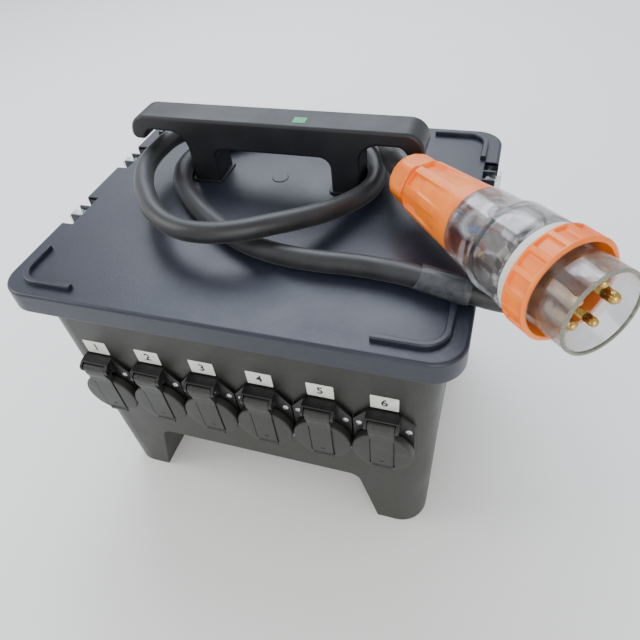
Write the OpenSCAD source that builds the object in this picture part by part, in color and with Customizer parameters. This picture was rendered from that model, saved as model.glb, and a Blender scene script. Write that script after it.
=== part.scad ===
// Portable power distribution box: a tapered tub on four corner feet under an overhanging lid
// that carries a cable-winding handle, a supply lead and its round plug.
// The front faces -Y, +Z is up, and the origin is at the middle of the footprint, on the ground.

/* [Body] */
// Overall height from the ground to the top of the lid
box_h = 287; // [280:1:300]
// Width of the tub at the ground
tub_w = 346; // [344:1:350]
// Depth of the tub at the ground
tub_d = 282; // [280:1:286]
// How much wider the tub is at its rim than at the ground
draft_w = 11; // [8:1:12]
// How much deeper the tub is at its rim than at the ground
draft_d = 13; // [9:1:13]
// Thickness of the tub's walls and floor
wall = 4; // [3:0.5:5]
// Height of the clear arches between the feet
arch_h = 80; // [60:1:85]

/* [Lid] */
// Width of the lid
lid_w = 386; // [384:1:390]
// Depth of the lid
lid_d = 326; // [324:1:330]
// Corner radius of the lid, seen from above
lid_r = 26; // [20:1:30]
// Height of the lid's skirt
skirt_h = 21; // [20:1:23]
// Length of one leg of the corner ribs that locate a stacked box
rib_leg = 55; // [40:1:60]

/* [Handle] */
// Length of the handle from horn tip to horn tip
handle_len = 284; // [280:2:288]
// Depth of the handle, front to back
handle_d = 34; // [28:1:36]
// Height of the handle above the lid
handle_h = 64; // [62:1:68]
// Width of the hand opening between the posts
grip_w = 115; // [105:1:118]
// Sideways and rearward place of the handle's middle on the lid
handle_at = [-10, 41];

/* [Sockets] */
// Number of outlets on each long side
socket_n = 6; // [4:1:6]
// Distance from outlet to outlet
socket_pitch = 54; // [54:0.5:55]
// Height of the outlets' middle above the ground
socket_z = 153; // [150:1:156]
// Radius of a flip cover's disc
cover_r = 26.5; // [25:0.1:26.5]

/* [Breakers] */
// Number of single-pole breakers behind the left window
breaker_n = 12; // [8:1:12]
// Pitch of one breaker module
module_w = 17.7; // [17.5:0.1:17.8]
// Height of the breakers' middle above the ground
breaker_z = 215; // [212:1:216]

/* [Cable] */
// Diameter of the supply cable
cable_d = 18; // [16:0.5:18]

/* [Hidden] */
$fn = 48;

// --- levels and slopes of the tub ---
gap = 0.05;
rim_z = box_h - 10;
lid_t = 4;
gasket_t = 2;
slope_x = draft_w / 2 / rim_z;
slope_y = draft_d / 2 / rim_z;
tub_r = 27;
function wall_x(z) = tub_w / 2 + slope_x * z;
function wall_y(z) = tub_d / 2 + slope_y * z;
skirt_t = 3.3;
skirt_z = box_h - skirt_h;

// A rounded rectangle that is exact: two squares and four discs
module round_rect(w, d, r) {
    square([w - 2 * r, d], center = true);
    square([w, d - 2 * r], center = true);
    for (sx = [-1, 1], sy = [-1, 1])
        translate([sx * (w / 2 - r), sy * (d / 2 - r)])
            circle(r = r);
}

module slab(w, d, r, z, h) {
    translate([0, 0, z])
        linear_extrude(h)
            round_rect(w, d, r);
}

// The tapered block that the tub is cut from, made smaller all round by inset
module tapered_block(inset, z0, z1) {
    edge = 0.1;
    hull() {
        slab(2 * (wall_x(z0) - inset), 2 * (wall_y(z0) - inset), tub_r - inset, z0, edge);
        slab(2 * (wall_x(z1) - inset), 2 * (wall_y(z1) - inset), tub_r - inset, z1 - edge, edge);
    }
}

// Outline of an arch between two feet, with its top corners rounded
module arch_outline(bottom, top, grow) {
    round_top = 12;
    offset(r = round_top, $fn = 32)
        offset(delta = grow - round_top)
            polygon([[-bottom, -40], [bottom, -40], [bottom, 0], [top, arch_h], [-top, arch_h], [-bottom, 0]]);
}

foot_in = [46, 65];
module arches(grow) {
    rotate([90, 0, 0])
        linear_extrude(tub_d + 60, center = true)
            arch_outline(tub_w / 2 - foot_in[0], tub_w / 2 - foot_in[1], grow);
    rotate([90, 0, 90])
        linear_extrude(tub_w + 60, center = true)
            arch_outline(tub_d / 2 - foot_in[0], tub_d / 2 - foot_in[1], grow);
}

// --- outlets: their places on the two long walls ---
draft_y = atan(slope_y);
draft_x = atan(slope_x);
function socket_x(i) = (i - (socket_n - 1) / 2) * socket_pitch;

module on_wall(side, x, z) {
    rotate([0, 0, side > 0 ? 0 : 180])
        translate([x, -wall_y(z), z])
            rotate([draft_y, 0, 0])
                children();
}

module each_socket() {
    for (side = [1, -1], i = [0 : socket_n - 1])
        on_wall(side, socket_x(i), socket_z)
            children();
}

// A cylinder whose axis runs along X or Y, centred on its place
module x_rod(r, l) {
    rotate([0, 90, 0])
        cylinder(r = r, h = l, center = true);
}

module y_rod(r, l) {
    rotate([90, 0, 0])
        cylinder(r = r, h = l, center = true);
}

cup_r = 22.5;
cup_depth = 31;
recess_r = 20;
plate_t = 4;
plate_half = 26.3;
plate_low = -19.5;
plate_high = 33;
hump_half = 14.5;
hump_high = 47.5;
land_half = (socket_n - 1) / 2 * socket_pitch + plate_half;
hinge_y = -12;
hinge_z = 41.5;
pin_r = 1.25;
screw_spots = [[-21, 28.5], [21, 28.5], [-21.5, -15], [21.5, -15]];

// --- side windows: their hinge stations on the lid's side flanges ---
hinge_x = lid_w / 2 - 8.5;
pin_z = box_h - 8;
pin_hinge_r = 2.5;
station = 44;
web_t = 2.5;
knuckle_w = 12;
left_stations = [-45, 55];
right_stations = [79];
left_window_y = [-106, 116];
right_window_y = [42, 116];
aperture_h = 46;
left_rail_y = 1.5;
right_rail_y = 79;
main_modules = 4;

module window_aperture(side, middle, modules) {
    w = modules * module_w + 1;
    translate([side * wall_x(breaker_z), middle, breaker_z])
        cube([30, w, aperture_h], center = true);
}

// --- cable entry ---
gland_y = 12;
gland_z = 214;
gland_r = 12.5;

module body_shell() {
    screw_x = [-140, 0, 140];
    color("#2b2d2c")
    difference() {
        union() {
            difference() {
                tapered_block(0, 0, rim_z);
                arches(0);
            }
            // Flat lands behind the outlets, which carry the end plates past the round corners
            for (side = [1, -1])
                on_wall(side, 0, socket_z)
                    translate([-land_half, 0, plate_low])
                        cube([2 * land_half, 5, hump_high - plate_low - 14]);
            // Rim flanges along the front and back, which the lid's screws pass through
            for (s = [-1, 1])
                translate([-150, s * (wall_y(rim_z) + 4) - 6, rim_z - 4])
                    cube([300, 12, 4]);
        }
        difference() {
            tapered_block(wall, wall, rim_z + 1);
            arches(wall);
        }
        each_socket()
            translate([0, 5, 0])
                y_rod(cup_r + 0.3, 20);
        each_socket()
            for (p = screw_spots)
                translate([p[0], 5, p[1]])
                    y_rod(1.65, 20);
        window_aperture(-1, left_rail_y, breaker_n);
        window_aperture(1, right_rail_y, main_modules);
        translate([wall_x(gland_z), gland_y, gland_z])
            x_rod(gland_r, 20);
        for (s = [-1, 1], x = screw_x)
            translate([x, s * (lid_screw_y), rim_z - 5])
                cylinder(r = 2.2, h = 6);
    }
}

lid_screw_y = tub_d / 2 + draft_d / 2 + 5.5;

// Ring that follows the tub's rim, used by the gasket and by the lid's sealing rib
module rim_ring(h) {
    linear_extrude(h)
        difference() {
            union() {
                round_rect(2 * wall_x(rim_z) - 0.4, 2 * wall_y(rim_z) - 0.4, tub_r);
                for (s = [-1, 1])
                    translate([0, s * (wall_y(rim_z) + 4.5)])
                        square([300, 11], center = true);
            }
            round_rect(2 * wall_x(rim_z) - 9, 2 * wall_y(rim_z) - 9, tub_r - 5);
        }
}

module lid_gasket() {
    color("#4a4a46")
    difference() {
        translate([0, 0, rim_z])
            rim_ring(gasket_t);
        for (s = [-1, 1], x = [-140, 0, 140])
            translate([x, s * lid_screw_y, rim_z - 1])
                cylinder(r = 2.2, h = gasket_t + 2);
    }
}

module lid_screws() {
    color("#9a9a96")
    for (s = [-1, 1], x = [-140, 0, 140])
        translate([x, s * lid_screw_y, rim_z - 4]) {
            translate([0, 0, -3])
                cylinder(r = 3.8, h = 3);
            cylinder(r = 2, h = 11.5);
        }
}

// L-shaped rib at one corner of the lid's top
module corner_rib() {
    out_x = lid_w / 2 - 13;
    out_y = lid_d / 2 - 12;
    rib_w = 5.5;
    r = 20;
    intersection() {
        difference() {
            slab(2 * out_x, 2 * out_y, r, box_h - 0.5, 5);
            slab(2 * (out_x - rib_w), 2 * (out_y - rib_w), r - rib_w, box_h - 1, 7);
        }
        translate([out_x - rib_leg, out_y - rib_leg + 8, box_h - 0.5])
            cube([rib_leg + 1, rib_leg + 1, 6]);
    }
}

// Notch in the lid's side flange for one window hinge
module station_notch(side, y) {
    translate([side * (hinge_x + 4), y, pin_z - 2])
        cube([17.5, station, 30], center = true);
}

// Two webs that carry the pin on either side of the window's knuckle
module station_webs(side, y) {
    for (s = [-1, 1])
        translate([side * (hinge_x + 1), y + s * (knuckle_w / 2 + 0.3 + web_t / 2), pin_z + 1])
            cube([14, web_t, 13], center = true);
}

// Solid end of a hinge station, which holds the end of the pin
module station_end(side, y) {
    translate([side * (hinge_x + 0.75), y, pin_z + 1])
        cube([9.5, 4, 13], center = true);
}

module lid_cover() {
    color("#35383c")
    difference() {
        union() {
            for (y = left_stations, s = [-1, 1])
                station_end(-1, y + s * (station / 2 + 2));
            for (y = right_stations, s = [-1, 1])
                station_end(1, y + s * (station / 2 + 2));
            for (y = left_stations)
                station_webs(-1, y);
            for (y = right_stations)
                station_webs(1, y);
            difference() {
                hull() {
                    slab(lid_w, lid_d, lid_r, skirt_z, skirt_h - 3);
                    slab(lid_w - 1.6, lid_d - 1.6, lid_r - 0.8, box_h - 1.2, 0.1);
                    slab(lid_w - 5, lid_d - 5, lid_r - 2.5, box_h - 0.1, 0.1);
                }
                slab(lid_w - 2 * skirt_t, lid_d - 2 * skirt_t, lid_r - skirt_t, skirt_z - 1, skirt_h - lid_t + 1);
                for (y = left_stations)
                    station_notch(-1, y);
                for (y = right_stations)
                    station_notch(1, y);
            }
            translate([0, 0, rim_z + gasket_t])
                rim_ring(box_h - lid_t - rim_z - gasket_t + 0.5);
            for (sx = [0, 1], sy = [0, 1])
                mirror([sx, 0, 0])
                    mirror([0, sy, 0])
                        corner_rib();
            // Shallow pad under the middle of the handle
            translate([handle_at[0], handle_at[1], box_h - 0.5])
                cylinder(r = 8, h = 1.1);
        }
        for (y = left_stations)
            translate([-hinge_x, y, pin_z])
                y_rod(pin_hinge_r + gap, station + 7.2);
        for (y = right_stations)
            translate([hinge_x, y, pin_z])
                y_rod(pin_hinge_r + gap, station + 7.2);
        for (s = [-1, 1], x = [-140, 0, 140])
            translate([x, s * lid_screw_y, rim_z])
                cylinder(r = 2 + gap, h = 7.8);
        for (p = handle_screw_spots)
            translate([p[0], p[1], box_h - lid_t - 1])
                cylinder(r = 3.1, h = lid_t + 2);
    }
}

// --- handle ---
post_out = grip_w / 2 + 27;
horn_out = handle_len / 2;
grip_h = 34.5;
handle_screw_spots = [
    for (s = [-1, 1], t = [-1, 1])
        [handle_at[0] + s * (grip_w / 2 + 13.5), handle_at[1] + t * 9]
];

// Half of the handle's front outline, from its middle to one horn
module handle_half() {
    bar_t = handle_h - grip_h;
    end_r = 22;
    tip_r = 6;
    arch_r = 16;
    arch_top = 50;
    // Grip bar, with a rounded end
    translate([0, grip_h])
        square([horn_out - end_r, bar_t]);
    intersection() {
        translate([horn_out - end_r, handle_h - end_r])
            circle(r = end_r);
        translate([horn_out - end_r - 1, arch_top - 10])
            square([end_r + 2, 40]);
    }
    translate([horn_out - tip_r, handle_h - 18])
        circle(r = tip_r);
    translate([horn_out - 2 * tip_r, handle_h - 18])
        square([2 * tip_r, 3]);
    // Post
    translate([grip_w / 2, 0])
        square([27, grip_h + 5]);
}

module handle_outline() {
    arch_r = 16;
    arch_top = 50;
    difference() {
        for (m = [0, 1])
            mirror([m, 0])
                handle_half();
        for (m = [0, 1])
            mirror([m, 0]) {
                // Rounded space under the horn, where the cable is wound
                translate([post_out + arch_r, arch_top - arch_r])
                    circle(r = arch_r);
                translate([post_out + arch_r, arch_top - arch_r - 40])
                    square([horn_out - post_out - arch_r - 13.5, 40 + arch_r - 1.5]);
                translate([post_out, -1])
                    square([arch_r * 2, arch_top - arch_r + 1]);
            }
    }
    // Rounded upper corners of the hand opening
    for (m = [0, 1])
        mirror([m, 0])
            difference() {
                translate([grip_w / 2 - 11, grip_h - 11])
                    square(11.5);
                translate([grip_w / 2 - 11, grip_h - 11])
                    circle(r = 11);
            }
}

module carry_handle() {
    color("#232527")
    translate([handle_at[0], handle_at[1], box_h])
        difference() {
            rotate([90, 0, 0])
                linear_extrude(handle_d, center = true)
                    handle_outline();
            for (p = handle_screw_spots)
                translate([p[0] - handle_at[0], p[1] - handle_at[1], -1])
                    cylinder(r = 3 + gap, h = 21);
        }
}

module handle_screws() {
    color("#9a9a96")
    for (p = handle_screw_spots)
        translate([p[0], p[1], box_h - lid_t]) {
            translate([0, 0, -4.5])
                cylinder(r = 5.5, h = 4.5);
            cylinder(r = 3, h = 22);
        }
}

module handle_sticker() {
    color("#1f9a63")
    translate([handle_at[0] + 29, handle_at[1] - 5, box_h + handle_h])
        translate([-6, -5, 0])
            cube([12, 10, 0.3]);
}

// --- outlets ---
module base_outline() {
    polygon([
        [-plate_half, plate_low], [plate_half, plate_low], [plate_half, plate_high],
        [hump_half, hump_high], [-hump_half, hump_high], [-plate_half, plate_high]
    ]);
}

// Places a flat outline on the wall, thick outwards from y0
module outward(y0, t) {
    translate([0, y0, 0])
        rotate([90, 0, 0])
            linear_extrude(t)
                children();
}

module ear_outline() {
    translate([hinge_y, hinge_z])
        circle(r = 4.6);
    translate([hinge_y, hinge_z - 4.6])
        square([-hinge_y - plate_t + 0.5, 9.2]);
}

module socket_base() {
    difference() {
        union() {
            outward(-gap, plate_t)
                base_outline();
            // Collar that the flip cover's seal closes on
            outward(-plate_t, 2.4)
                circle(r = recess_r + 2.2);
            // Cup inside the wall
            translate([0, cup_depth / 2 - 1, 0])
                y_rod(cup_r, cup_depth);
            // Hinge ears
            for (s = [-1, 1])
                translate([s * 13.1, 0, 0])
                    rotate([90, 0, 90])
                        linear_extrude(2.4, center = true)
                            ear_outline();
            // Ramp behind the hinge
            translate([0, -plate_t, hinge_z + 4.5])
                rotate([0, 90, 0])
                    linear_extrude(24, center = true)
                        polygon([[-1.5, 0.5], [5, 0.5], [3, -1.2], [-1.5, -3]]);
        }
        translate([0, cup_depth / 2 - 10, 0])
            y_rod(recess_r, cup_depth + 14);
        translate([0, hinge_y, hinge_z])
            x_rod(pin_r + 0.03, 40);
        for (p = screw_spots)
            translate([p[0], 0, p[1]])
                screw_shape(gap);
    }
}

// Countersunk screw with its head flush with the plate
module screw_shape(grow) {
    rotate([90, 0, 0]) {
        translate([0, 0, plate_t - 2])
            cylinder(r1 = 1.6 + grow, r2 = 3.3 + grow, h = 2 + gap);
        translate([0, 0, -9])
            cylinder(r = 1.6 + grow, h = plate_t + 7.5);
    }
}

module socket_bases() {
    color("#1d1f20")
    each_socket()
        socket_base();
}

// Contact insert with two slanting slots and one upright slot
module socket_inserts() {
    color("#3a3c3e")
    each_socket()
        difference() {
            translate([0, 17, 0])
                y_rod(recess_r - gap, 21);
            for (s = [-1, 1])
                translate([s * 7.2, 12, 3.5])
                    rotate([0, s * 30, 0])
                        cube([2, 16, 7.5], center = true);
            translate([0, 12, -8])
                cube([2, 16, 7.5], center = true);
        }
}

module socket_screws() {
    color("#c8cacc")
    each_socket()
        for (p = screw_spots)
            translate([p[0], 0, p[1]])
                difference() {
                    screw_shape(0);
                    translate([0, -plate_t, 0])
                        rotate([0, 45, 0])
                            for (a = [0, 90])
                                rotate([0, a, 0])
                                    cube([3.4, 1.6, 0.8], center = true);
                }
}

module cover_pins() {
    color("#8c8e90")
    each_socket()
        translate([0, hinge_y, hinge_z])
            x_rod(pin_r, 28.6);
}

module cover_springs() {
    color("#b0b2b4")
    each_socket()
        translate([0, hinge_y, hinge_z])
            difference() {
                x_rod(2.6, 7.6);
                x_rod(1.5, 9);
            }
}

module label_plate() {
    translate([-11.75, -0.3, 49.5])
        cube([23.5, 0.25, 16.5]);
}

module socket_labels() {
    color("#d9dad6")
    each_socket()
        label_plate();
}

// Flip cover: hinge barrel, arm, round cap and raised finger panel
module flip_cover() {
    cap_front = 12.2;
    cap_back = plate_t + 0.5;
    difference() {
        union() {
            translate([0, hinge_y, hinge_z])
                x_rod(4.2, 23);
            outward(-cap_back, cap_front - cap_back)
                circle(r = cover_r);
            // Arm from the barrel down onto the cap
            rotate([90, 0, 90])
                linear_extrude(21.5, center = true)
                    polygon([
                        [hinge_y + 0.5, hinge_z], [hinge_y - 4.2, hinge_z], [-cap_front - 1.6, 30],
                        [-cap_front - 1, 22], [-8, 22], [-8.5, 30]
                    ]);
            // Raised panel that runs from the arm towards the lip
            outward(-cap_front + 0.5, 1.5)
                polygon([[-9.8, 24], [9.8, 24], [9.8, -15], [8.8, -16], [-8.8, -16], [-9.8, -15]]);
            // Small grip mark and the lower lip
            outward(-cap_front - 0.5, 1.2)
                translate([-3, -12.5])
                    square([6, 2.2]);
            outward(-cap_front + 0.5, 2)
                intersection() {
                    circle(r = cover_r);
                    translate([-15, -cover_r])
                        square([30, 5]);
                }
        }
        // Hollow back that closes over the collar
        outward(0, 9.4)
            circle(r = cover_r - 2.6);
        translate([0, hinge_y, hinge_z]) {
            x_rod(pin_r + 0.06, 30);
            x_rod(2.9, 8.4);
        }
    }
}

module front_cover(n) {
    color("#3f4240")
    on_wall(1, socket_x(n - 1), socket_z)
        flip_cover();
}

module back_cover(n) {
    color("#3f4240")
    on_wall(-1, socket_x(n - 1), socket_z)
        flip_cover();
}

// --- side windows ---
module window_pins() {
    color("#b8babc")
    {
        for (y = left_stations)
            translate([-hinge_x, y, pin_z])
                y_rod(pin_hinge_r, station + 7);
        for (y = right_stations)
            translate([hinge_x, y, pin_z])
                y_rod(pin_hinge_r, station + 7);
    }
}

// Clear hood on the right side; the left one is its mirror image with its own span
module window_hood(span, stations) {
    plate_x = lid_w / 2 + 1.2;
    hood_t = 2.6;
    hood_top = pin_z - 9;
    hood_low = breaker_z - aperture_h / 2 - 10;
    cheek_top = skirt_z - 4;
    in_x = wall_x(cheek_top) + 1.2;
    difference() {
        union() {
            translate([plate_x, span[0], hood_low])
                cube([hood_t, span[1] - span[0], hood_top - hood_low]);
            for (y = [span[0], span[1] - hood_t])
                translate([in_x, y, hood_low])
                    cube([plate_x - in_x + 1, hood_t, cheek_top - hood_low]);
            translate([in_x, span[0], hood_low])
                cube([plate_x - in_x + 1, span[1] - span[0], hood_t]);
            for (y = stations)
                translate([0, y, 0]) {
                    translate([hinge_x, 0, pin_z])
                        y_rod(4.6, knuckle_w);
                    translate([hinge_x, -knuckle_w / 2, pin_z - 1])
                        cube([plate_x - hinge_x + hood_t, knuckle_w, 5.2]);
                    translate([plate_x, -knuckle_w / 2, hood_top - 1])
                        cube([hood_t, knuckle_w, pin_z - hood_top + 5.2]);
                }
        }
        for (y = stations)
            translate([hinge_x, y, pin_z])
                y_rod(pin_hinge_r + 0.08, knuckle_w + 2);
    }
}

module right_window() {
    color("#dfe6e8", 0.35)
    window_hood(right_window_y, right_stations);
}

module left_window() {
    color("#dfe6e8", 0.35)
    mirror([1, 0, 0])
        window_hood(left_window_y, left_stations);
}

// --- breakers: depth u runs inwards from the wall's outer face ---
toggle_u = 4.5;
toggle_r = 5;
nose_half = aperture_h / 2 - 0.5;
face_x = wall_x(breaker_z) + 1;
toggle_rest = 28;

module breaker_profile() {
    polygon([
        [0, -nose_half], [0, nose_half], [9, nose_half], [9, 31], [17, 31], [17, 43],
        [60, 43], [60, 18], [64, 18], [64, -18], [60, -18], [60, -43], [17, -43], [17, -31], [9, -31], [9, -nose_half]
    ]);
}

// Puts a shape drawn with u inwards and z up onto the right wall
module behind_wall(y) {
    translate([face_x, y, breaker_z])
        rotate([0, 0, 180])
            children();
}

module breaker_block(w, toggle_w) {
    difference() {
        rotate([90, 0, 0])
            linear_extrude(w, center = true)
                breaker_profile();
        translate([toggle_u, 0, 0])
            y_rod(toggle_r + 0.3, toggle_w + 0.8);
        translate([0, 0, 0])
            cube([6, toggle_w + 0.8, 16], center = true);
    }
}

module toggle_lever(w) {
    translate([toggle_u, 0, 0]) {
        y_rod(toggle_r, w);
        rotate([0, toggle_rest, 0])
            translate([-7.5, 0, 0])
                cube([12, w, 4], center = true);
    }
}

function breaker_y(i) = left_rail_y + (i - (breaker_n - 1) / 2) * module_w;

module breaker_bodies() {
    color("#e4e4df")
    mirror([1, 0, 0])
        for (i = [0 : breaker_n - 1])
            behind_wall(breaker_y(i))
                breaker_block(module_w - 0.2, 10);
}

module breaker_toggle(n) {
    color("#26282b")
    mirror([1, 0, 0])
        behind_wall(breaker_y(n - 1))
            toggle_lever(10);
}

main_w = main_modules * module_w;
main_toggle_w = 34;
button_at = [-26, -12];
module main_switch() {
    color("#e4e4df")
    behind_wall(right_rail_y)
        difference() {
            breaker_block(main_w, main_toggle_w);
            translate([5, button_at[0], button_at[1]])
                x_rod(3.6, 14);
        }
}

module main_toggle() {
    color("#26282b")
    behind_wall(right_rail_y)
        toggle_lever(main_toggle_w);
}

module test_button() {
    color("#e0a030")
    behind_wall(right_rail_y)
        translate([2.6, button_at[0], button_at[1]])
            x_rod(3.4, 9);
}

module rail(length) {
    rotate([90, 0, 0])
        linear_extrude(length, center = true)
            polygon([
                [0, 17.5], [1, 17.5], [1, 13.5], [7, 13.5], [7, -13.5], [1, -13.5], [1, -17.5], [0, -17.5],
                [0, -12.5], [6, -12.5], [6, 12.5], [0, 12.5]
            ]);
}

// Each rail stands on two brackets that rise from the floor
module din_rails() {
    color("#b4b6b8")
    {
        mirror([1, 0, 0])
            behind_wall(left_rail_y)
                translate([64.1, 0, 0])
                    rail(breaker_n * module_w);
        behind_wall(right_rail_y)
            translate([64.1, 0, 0])
                rail(main_w + 4);
        for (y = [left_rail_y - 80, left_rail_y + 80])
            translate([-face_x + 71.2, y - 10, arch_h + wall])
                cube([3, 20, breaker_z - arch_h - wall + 15]);
        for (y = [right_rail_y - 20, right_rail_y + 20])
            translate([face_x - 74.2, y - 8, arch_h + wall])
                cube([3, 16, breaker_z - arch_h - wall + 15]);
    }
}

module terminal_block() {
    color("#8f9496")
    difference() {
        translate([-60, -20, arch_h + wall])
            cube([120, 34, 26]);
        for (i = [0 : 7])
            translate([-49 + i * 14, -3, arch_h + wall + 14])
                cylinder(r = 4, h = 20);
    }
}

// --- tubes swept along a list of points ---
function unit(v) = v / norm(v);
function heading(p, i) = unit(p[min(i + 1, len(p) - 1)] - p[max(i - 1, 0)]);
function ring(c, t, r, n, up) =
    let (a = unit(cross(t, up)), b = cross(a, t))
    [for (k = [0 : n - 1]) c + r * (cos(k * 360 / n) * a + sin(k * 360 / n) * b)];

module tube(p, r, n, up) {
    last = (len(p) - 1) * n;
    polyhedron(
        points = [for (i = [0 : len(p) - 1]) each ring(p[i], heading(p, i), r, n, up)],
        faces = concat(
            [[for (k = [0 : n - 1]) k]],
            [for (i = [0 : len(p) - 2], k = [0 : n - 1])
                [i * n + k, (i + 1) * n + k, (i + 1) * n + (k + 1) % n, i * n + (k + 1) % n]],
            [[for (k = [n - 1 : -1 : 0]) last + k]]
        )
    );
}

// Five cores from the gland to the main switch
module inner_wiring() {
    cores = ["#7a4a2a", "#222222", "#8a8c8e", "#2a58a8", "#4f9a3a"];
    for (i = [0 : 4])
        color(cores[i])
        tube(
            [
                [154, 4 + 4 * i, 214], [146, 4 + 4 * i, 213], [136, 4 + 5 * i, 206],
                [127 + 2 * i, 6 + 5 * i, 184], [126 + 5 * i, 14 + 6 * i, 166],
                [128 + 5 * i, 40 + 10 * i, 158], [130 + 4 * i, 52 + 14 * i, 166]
            ],
            1.8, 8, [0, 0.2, 1]
        );
}

// --- cable entry on the right wall ---
module cable_gland() {
    color("#2a2c2e")
    translate([0, gland_y, gland_z])
        difference() {
            union() {
                translate([wall_x(gland_z) + 0.3, 0, 0])
                    rotate([0, 90, 0]) {
                        cylinder(r = 18, h = 7, $fn = 6);
                        cylinder(r = 15, h = 15);
                    }
                translate([168, 0, 0])
                    x_rod(gland_r - gap, 26);
            }
            translate([180, 0, 0])
                x_rod(cable_d / 2 + 0.3, 80);
        }
}

module gland_locknut() {
    color("#2a2c2e")
    translate([wall_x(gland_z) - wall - 6.4, gland_y, gland_z])
        rotate([0, 90, 0])
            difference() {
                cylinder(r = 17.5, h = 6, $fn = 6);
                translate([0, 0, -1])
                    cylinder(r = gland_r, h = 8);
            }
}

relief_x = wall_x(gland_z) + 15.4;
module strain_relief() {
    color("#202224")
    translate([relief_x, gland_y, gland_z])
        rotate([0, 90, 0])
            difference() {
                cylinder(r1 = 14.5, r2 = 12.4, h = 22);
                translate([0, 0, -1])
                    cylinder(r1 = cable_d / 2 + 0.3, r2 = 11.4, h = 24);
            }
}

// --- supply cable: from the gland over the lid's edge, two turns round the handle, to the plug ---
lead_route = [
    [188, 12, 214], [204, 12, 214], [221, 9, 216], [238, 1, 222], [252, -13, 232], [261, -30, 244],
    [264, -48, 257], [259, -66, 270], [245, -82, 281], [227, -92, 288.5], [207, -97, 293.5], [187, -97, 297],
    [166, -94, 298], [145, -88, 297], [120, -84, 296], [95, -83, 296], [70, -84, 296], [45, -83, 296],
    [20, -79, 296], [-4, -71, 296], [-27, -58, 296], [-50, -42, 296], [-71, -24, 296], [-89, -5, 296],
    [-102, 14, 296], [-108, 35, 296], [-106, 57, 296], [-96, 78, 296], [-80, 96, 296], [-60, 109, 296],
    [-36, 117, 296], [-11, 120, 296], [14, 117, 296], [38, 109, 296], [58, 95, 296], [74, 77, 296],
    [84, 57, 296], [87, 36, 297], [84, 14, 299], [75, -8, 302], [62, -30, 306], [45, -51, 311],
    [24, -70, 315], [1, -84, 316], [-26, -91, 316], [-53, -87, 315], [-78, -73, 315], [-99, -51, 315],
    [-117, -25, 315], [-128, 3, 315], [-130, 33, 315], [-126, 60, 314], [-114, 85, 310], [-95, 107, 304],
    [-71, 125, 299], [-43, 136, 297], [-12, 140, 296], [18, 137, 297], [46, 127, 301], [67, 110, 307],
    [82, 89, 313], [91, 67, 316], [98, 47, 317], [108, 27, 319], [121.2, 9.4, 321.2], [130.5, -1, 322.5],
    [143.7, -15.9, 324.4], [157, -30.7, 326.3], [171.4, -46.9, 328.4]
];

module supply_cable() {
    color("#1c1e20")
    tube(lead_route, cable_d / 2, 10, [0, 0, 1]);
}

// Film sleeve wrapped round the lead where it crosses towards the lid's edge
module tape_sleeve() {
    a = lead_route[13] + [0, 0, 0.6];
    b = lead_route[11] + [0, 0, 0.2];
    t = unit(b - a);
    color("#8a8d90", 0.5)
    intersection() {
        translate(a + 8 * t)
            rotate([0, acos(t[2]), atan2(t[1], t[0])])
                difference() {
                    cylinder(r = 9.9, h = 32);
                    translate([0, 0, -1])
                        cylinder(r = 9.3, h = 40);
                }
        translate([100, -200, box_h + 0.1])
            cube([200, 200, 60]);
    }
}

// --- round plug: its own frame has +Z along its axis, towards the pins ---
plug_at = [130.5, -1, 322.5];
plug_az = -48.3;
plug_el = 5.5;
shroud_r = 29.5;
ring_t = [155, 175];

module plug_frame() {
    translate(plug_at)
        rotate([0, 90 - plug_el, plug_az])
            children();
}

module plug_cable_nut() {
    color("#e8702a")
    plug_frame()
        difference() {
            rotate_extrude()
                polygon([[0, -14], [15, -14], [20, -11.5], [22.4, -6], [22.4, 13.8], [0, 13.8]]);
            translate([0, 0, -20])
                cylinder(r = cable_d / 2 + 0.4, h = 50);
            for (i = [0 : 7])
                rotate([0, 0, i * 45])
                    translate([22.6, 0, -4])
                        cube([3, 6, 22], center = true);
        }
}

module plug_rear_housing() {
    color("#e8702a")
    plug_frame()
        difference() {
            union() {
                rotate_extrude()
                    polygon([[0, 14.2], [21.5, 14.2], [24.2, 17], [28.6, 82], [0, 82]]);
                for (i = [0 : 7])
                    rotate([0, 0, i * 45 + 22.5])
                        translate([21.5, -3, 17])
                            cube([4.6, 6, 30]);
            }
            rotate_extrude()
                polygon([[0, 14], [9.5, 14], [9.5, 24], [19, 34], [25.6, 83], [0, 83]]);
            for (i = [0 : 7])
                rotate([0, 0, i * 45])
                    translate([24.8, 0, 27])
                        cube([3, 9, 13], center = true);
        }
}

module plug_clear_body() {
    color("#e6ecee", 0.35)
    plug_frame()
        rotate_extrude()
            polygon([
                [26.2, 82.2], [28.6, 82.2], [30.6, 106], [34, 128], [34, 147.4], [shroud_r, 147.6], [shroud_r, 200],
                [27, 200], [27, 168], [26.4, 168], [26.4, 140], [31, 139], [31, 129], [28, 107]
            ]);
}

module plug_lock_ring() {
    color("#e8702a")
    plug_frame()
        difference() {
            rotate_extrude()
                polygon([
                    [shroud_r + 0.1, ring_t[0]], [34, ring_t[0]], [36.6, ring_t[0] + 3], [36.6, ring_t[1] - 2],
                    [35, ring_t[1]], [shroud_r + 0.1, ring_t[1]]
                ]);
            for (i = [0 : 15])
                rotate([0, 0, i * 22.5])
                    translate([36.6, 0, (ring_t[0] + ring_t[1]) / 2])
                        cube([3, 7.5, 13], center = true);
        }
}

module plug_seal() {
    color("#e2e4e2")
    plug_frame()
        rotate_extrude()
            polygon([[shroud_r + 0.05, 148], [33.4, 148], [33.4, 154.6], [shroud_r + 0.05, 154.6]]);
}

carrier_t = [141, 167.5];
pin_circle = 15.5;
pin_angles = [90, 162, 234, 306, 18];
function contact_r(i) = i == 0 ? 4 : 3.2;

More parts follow.
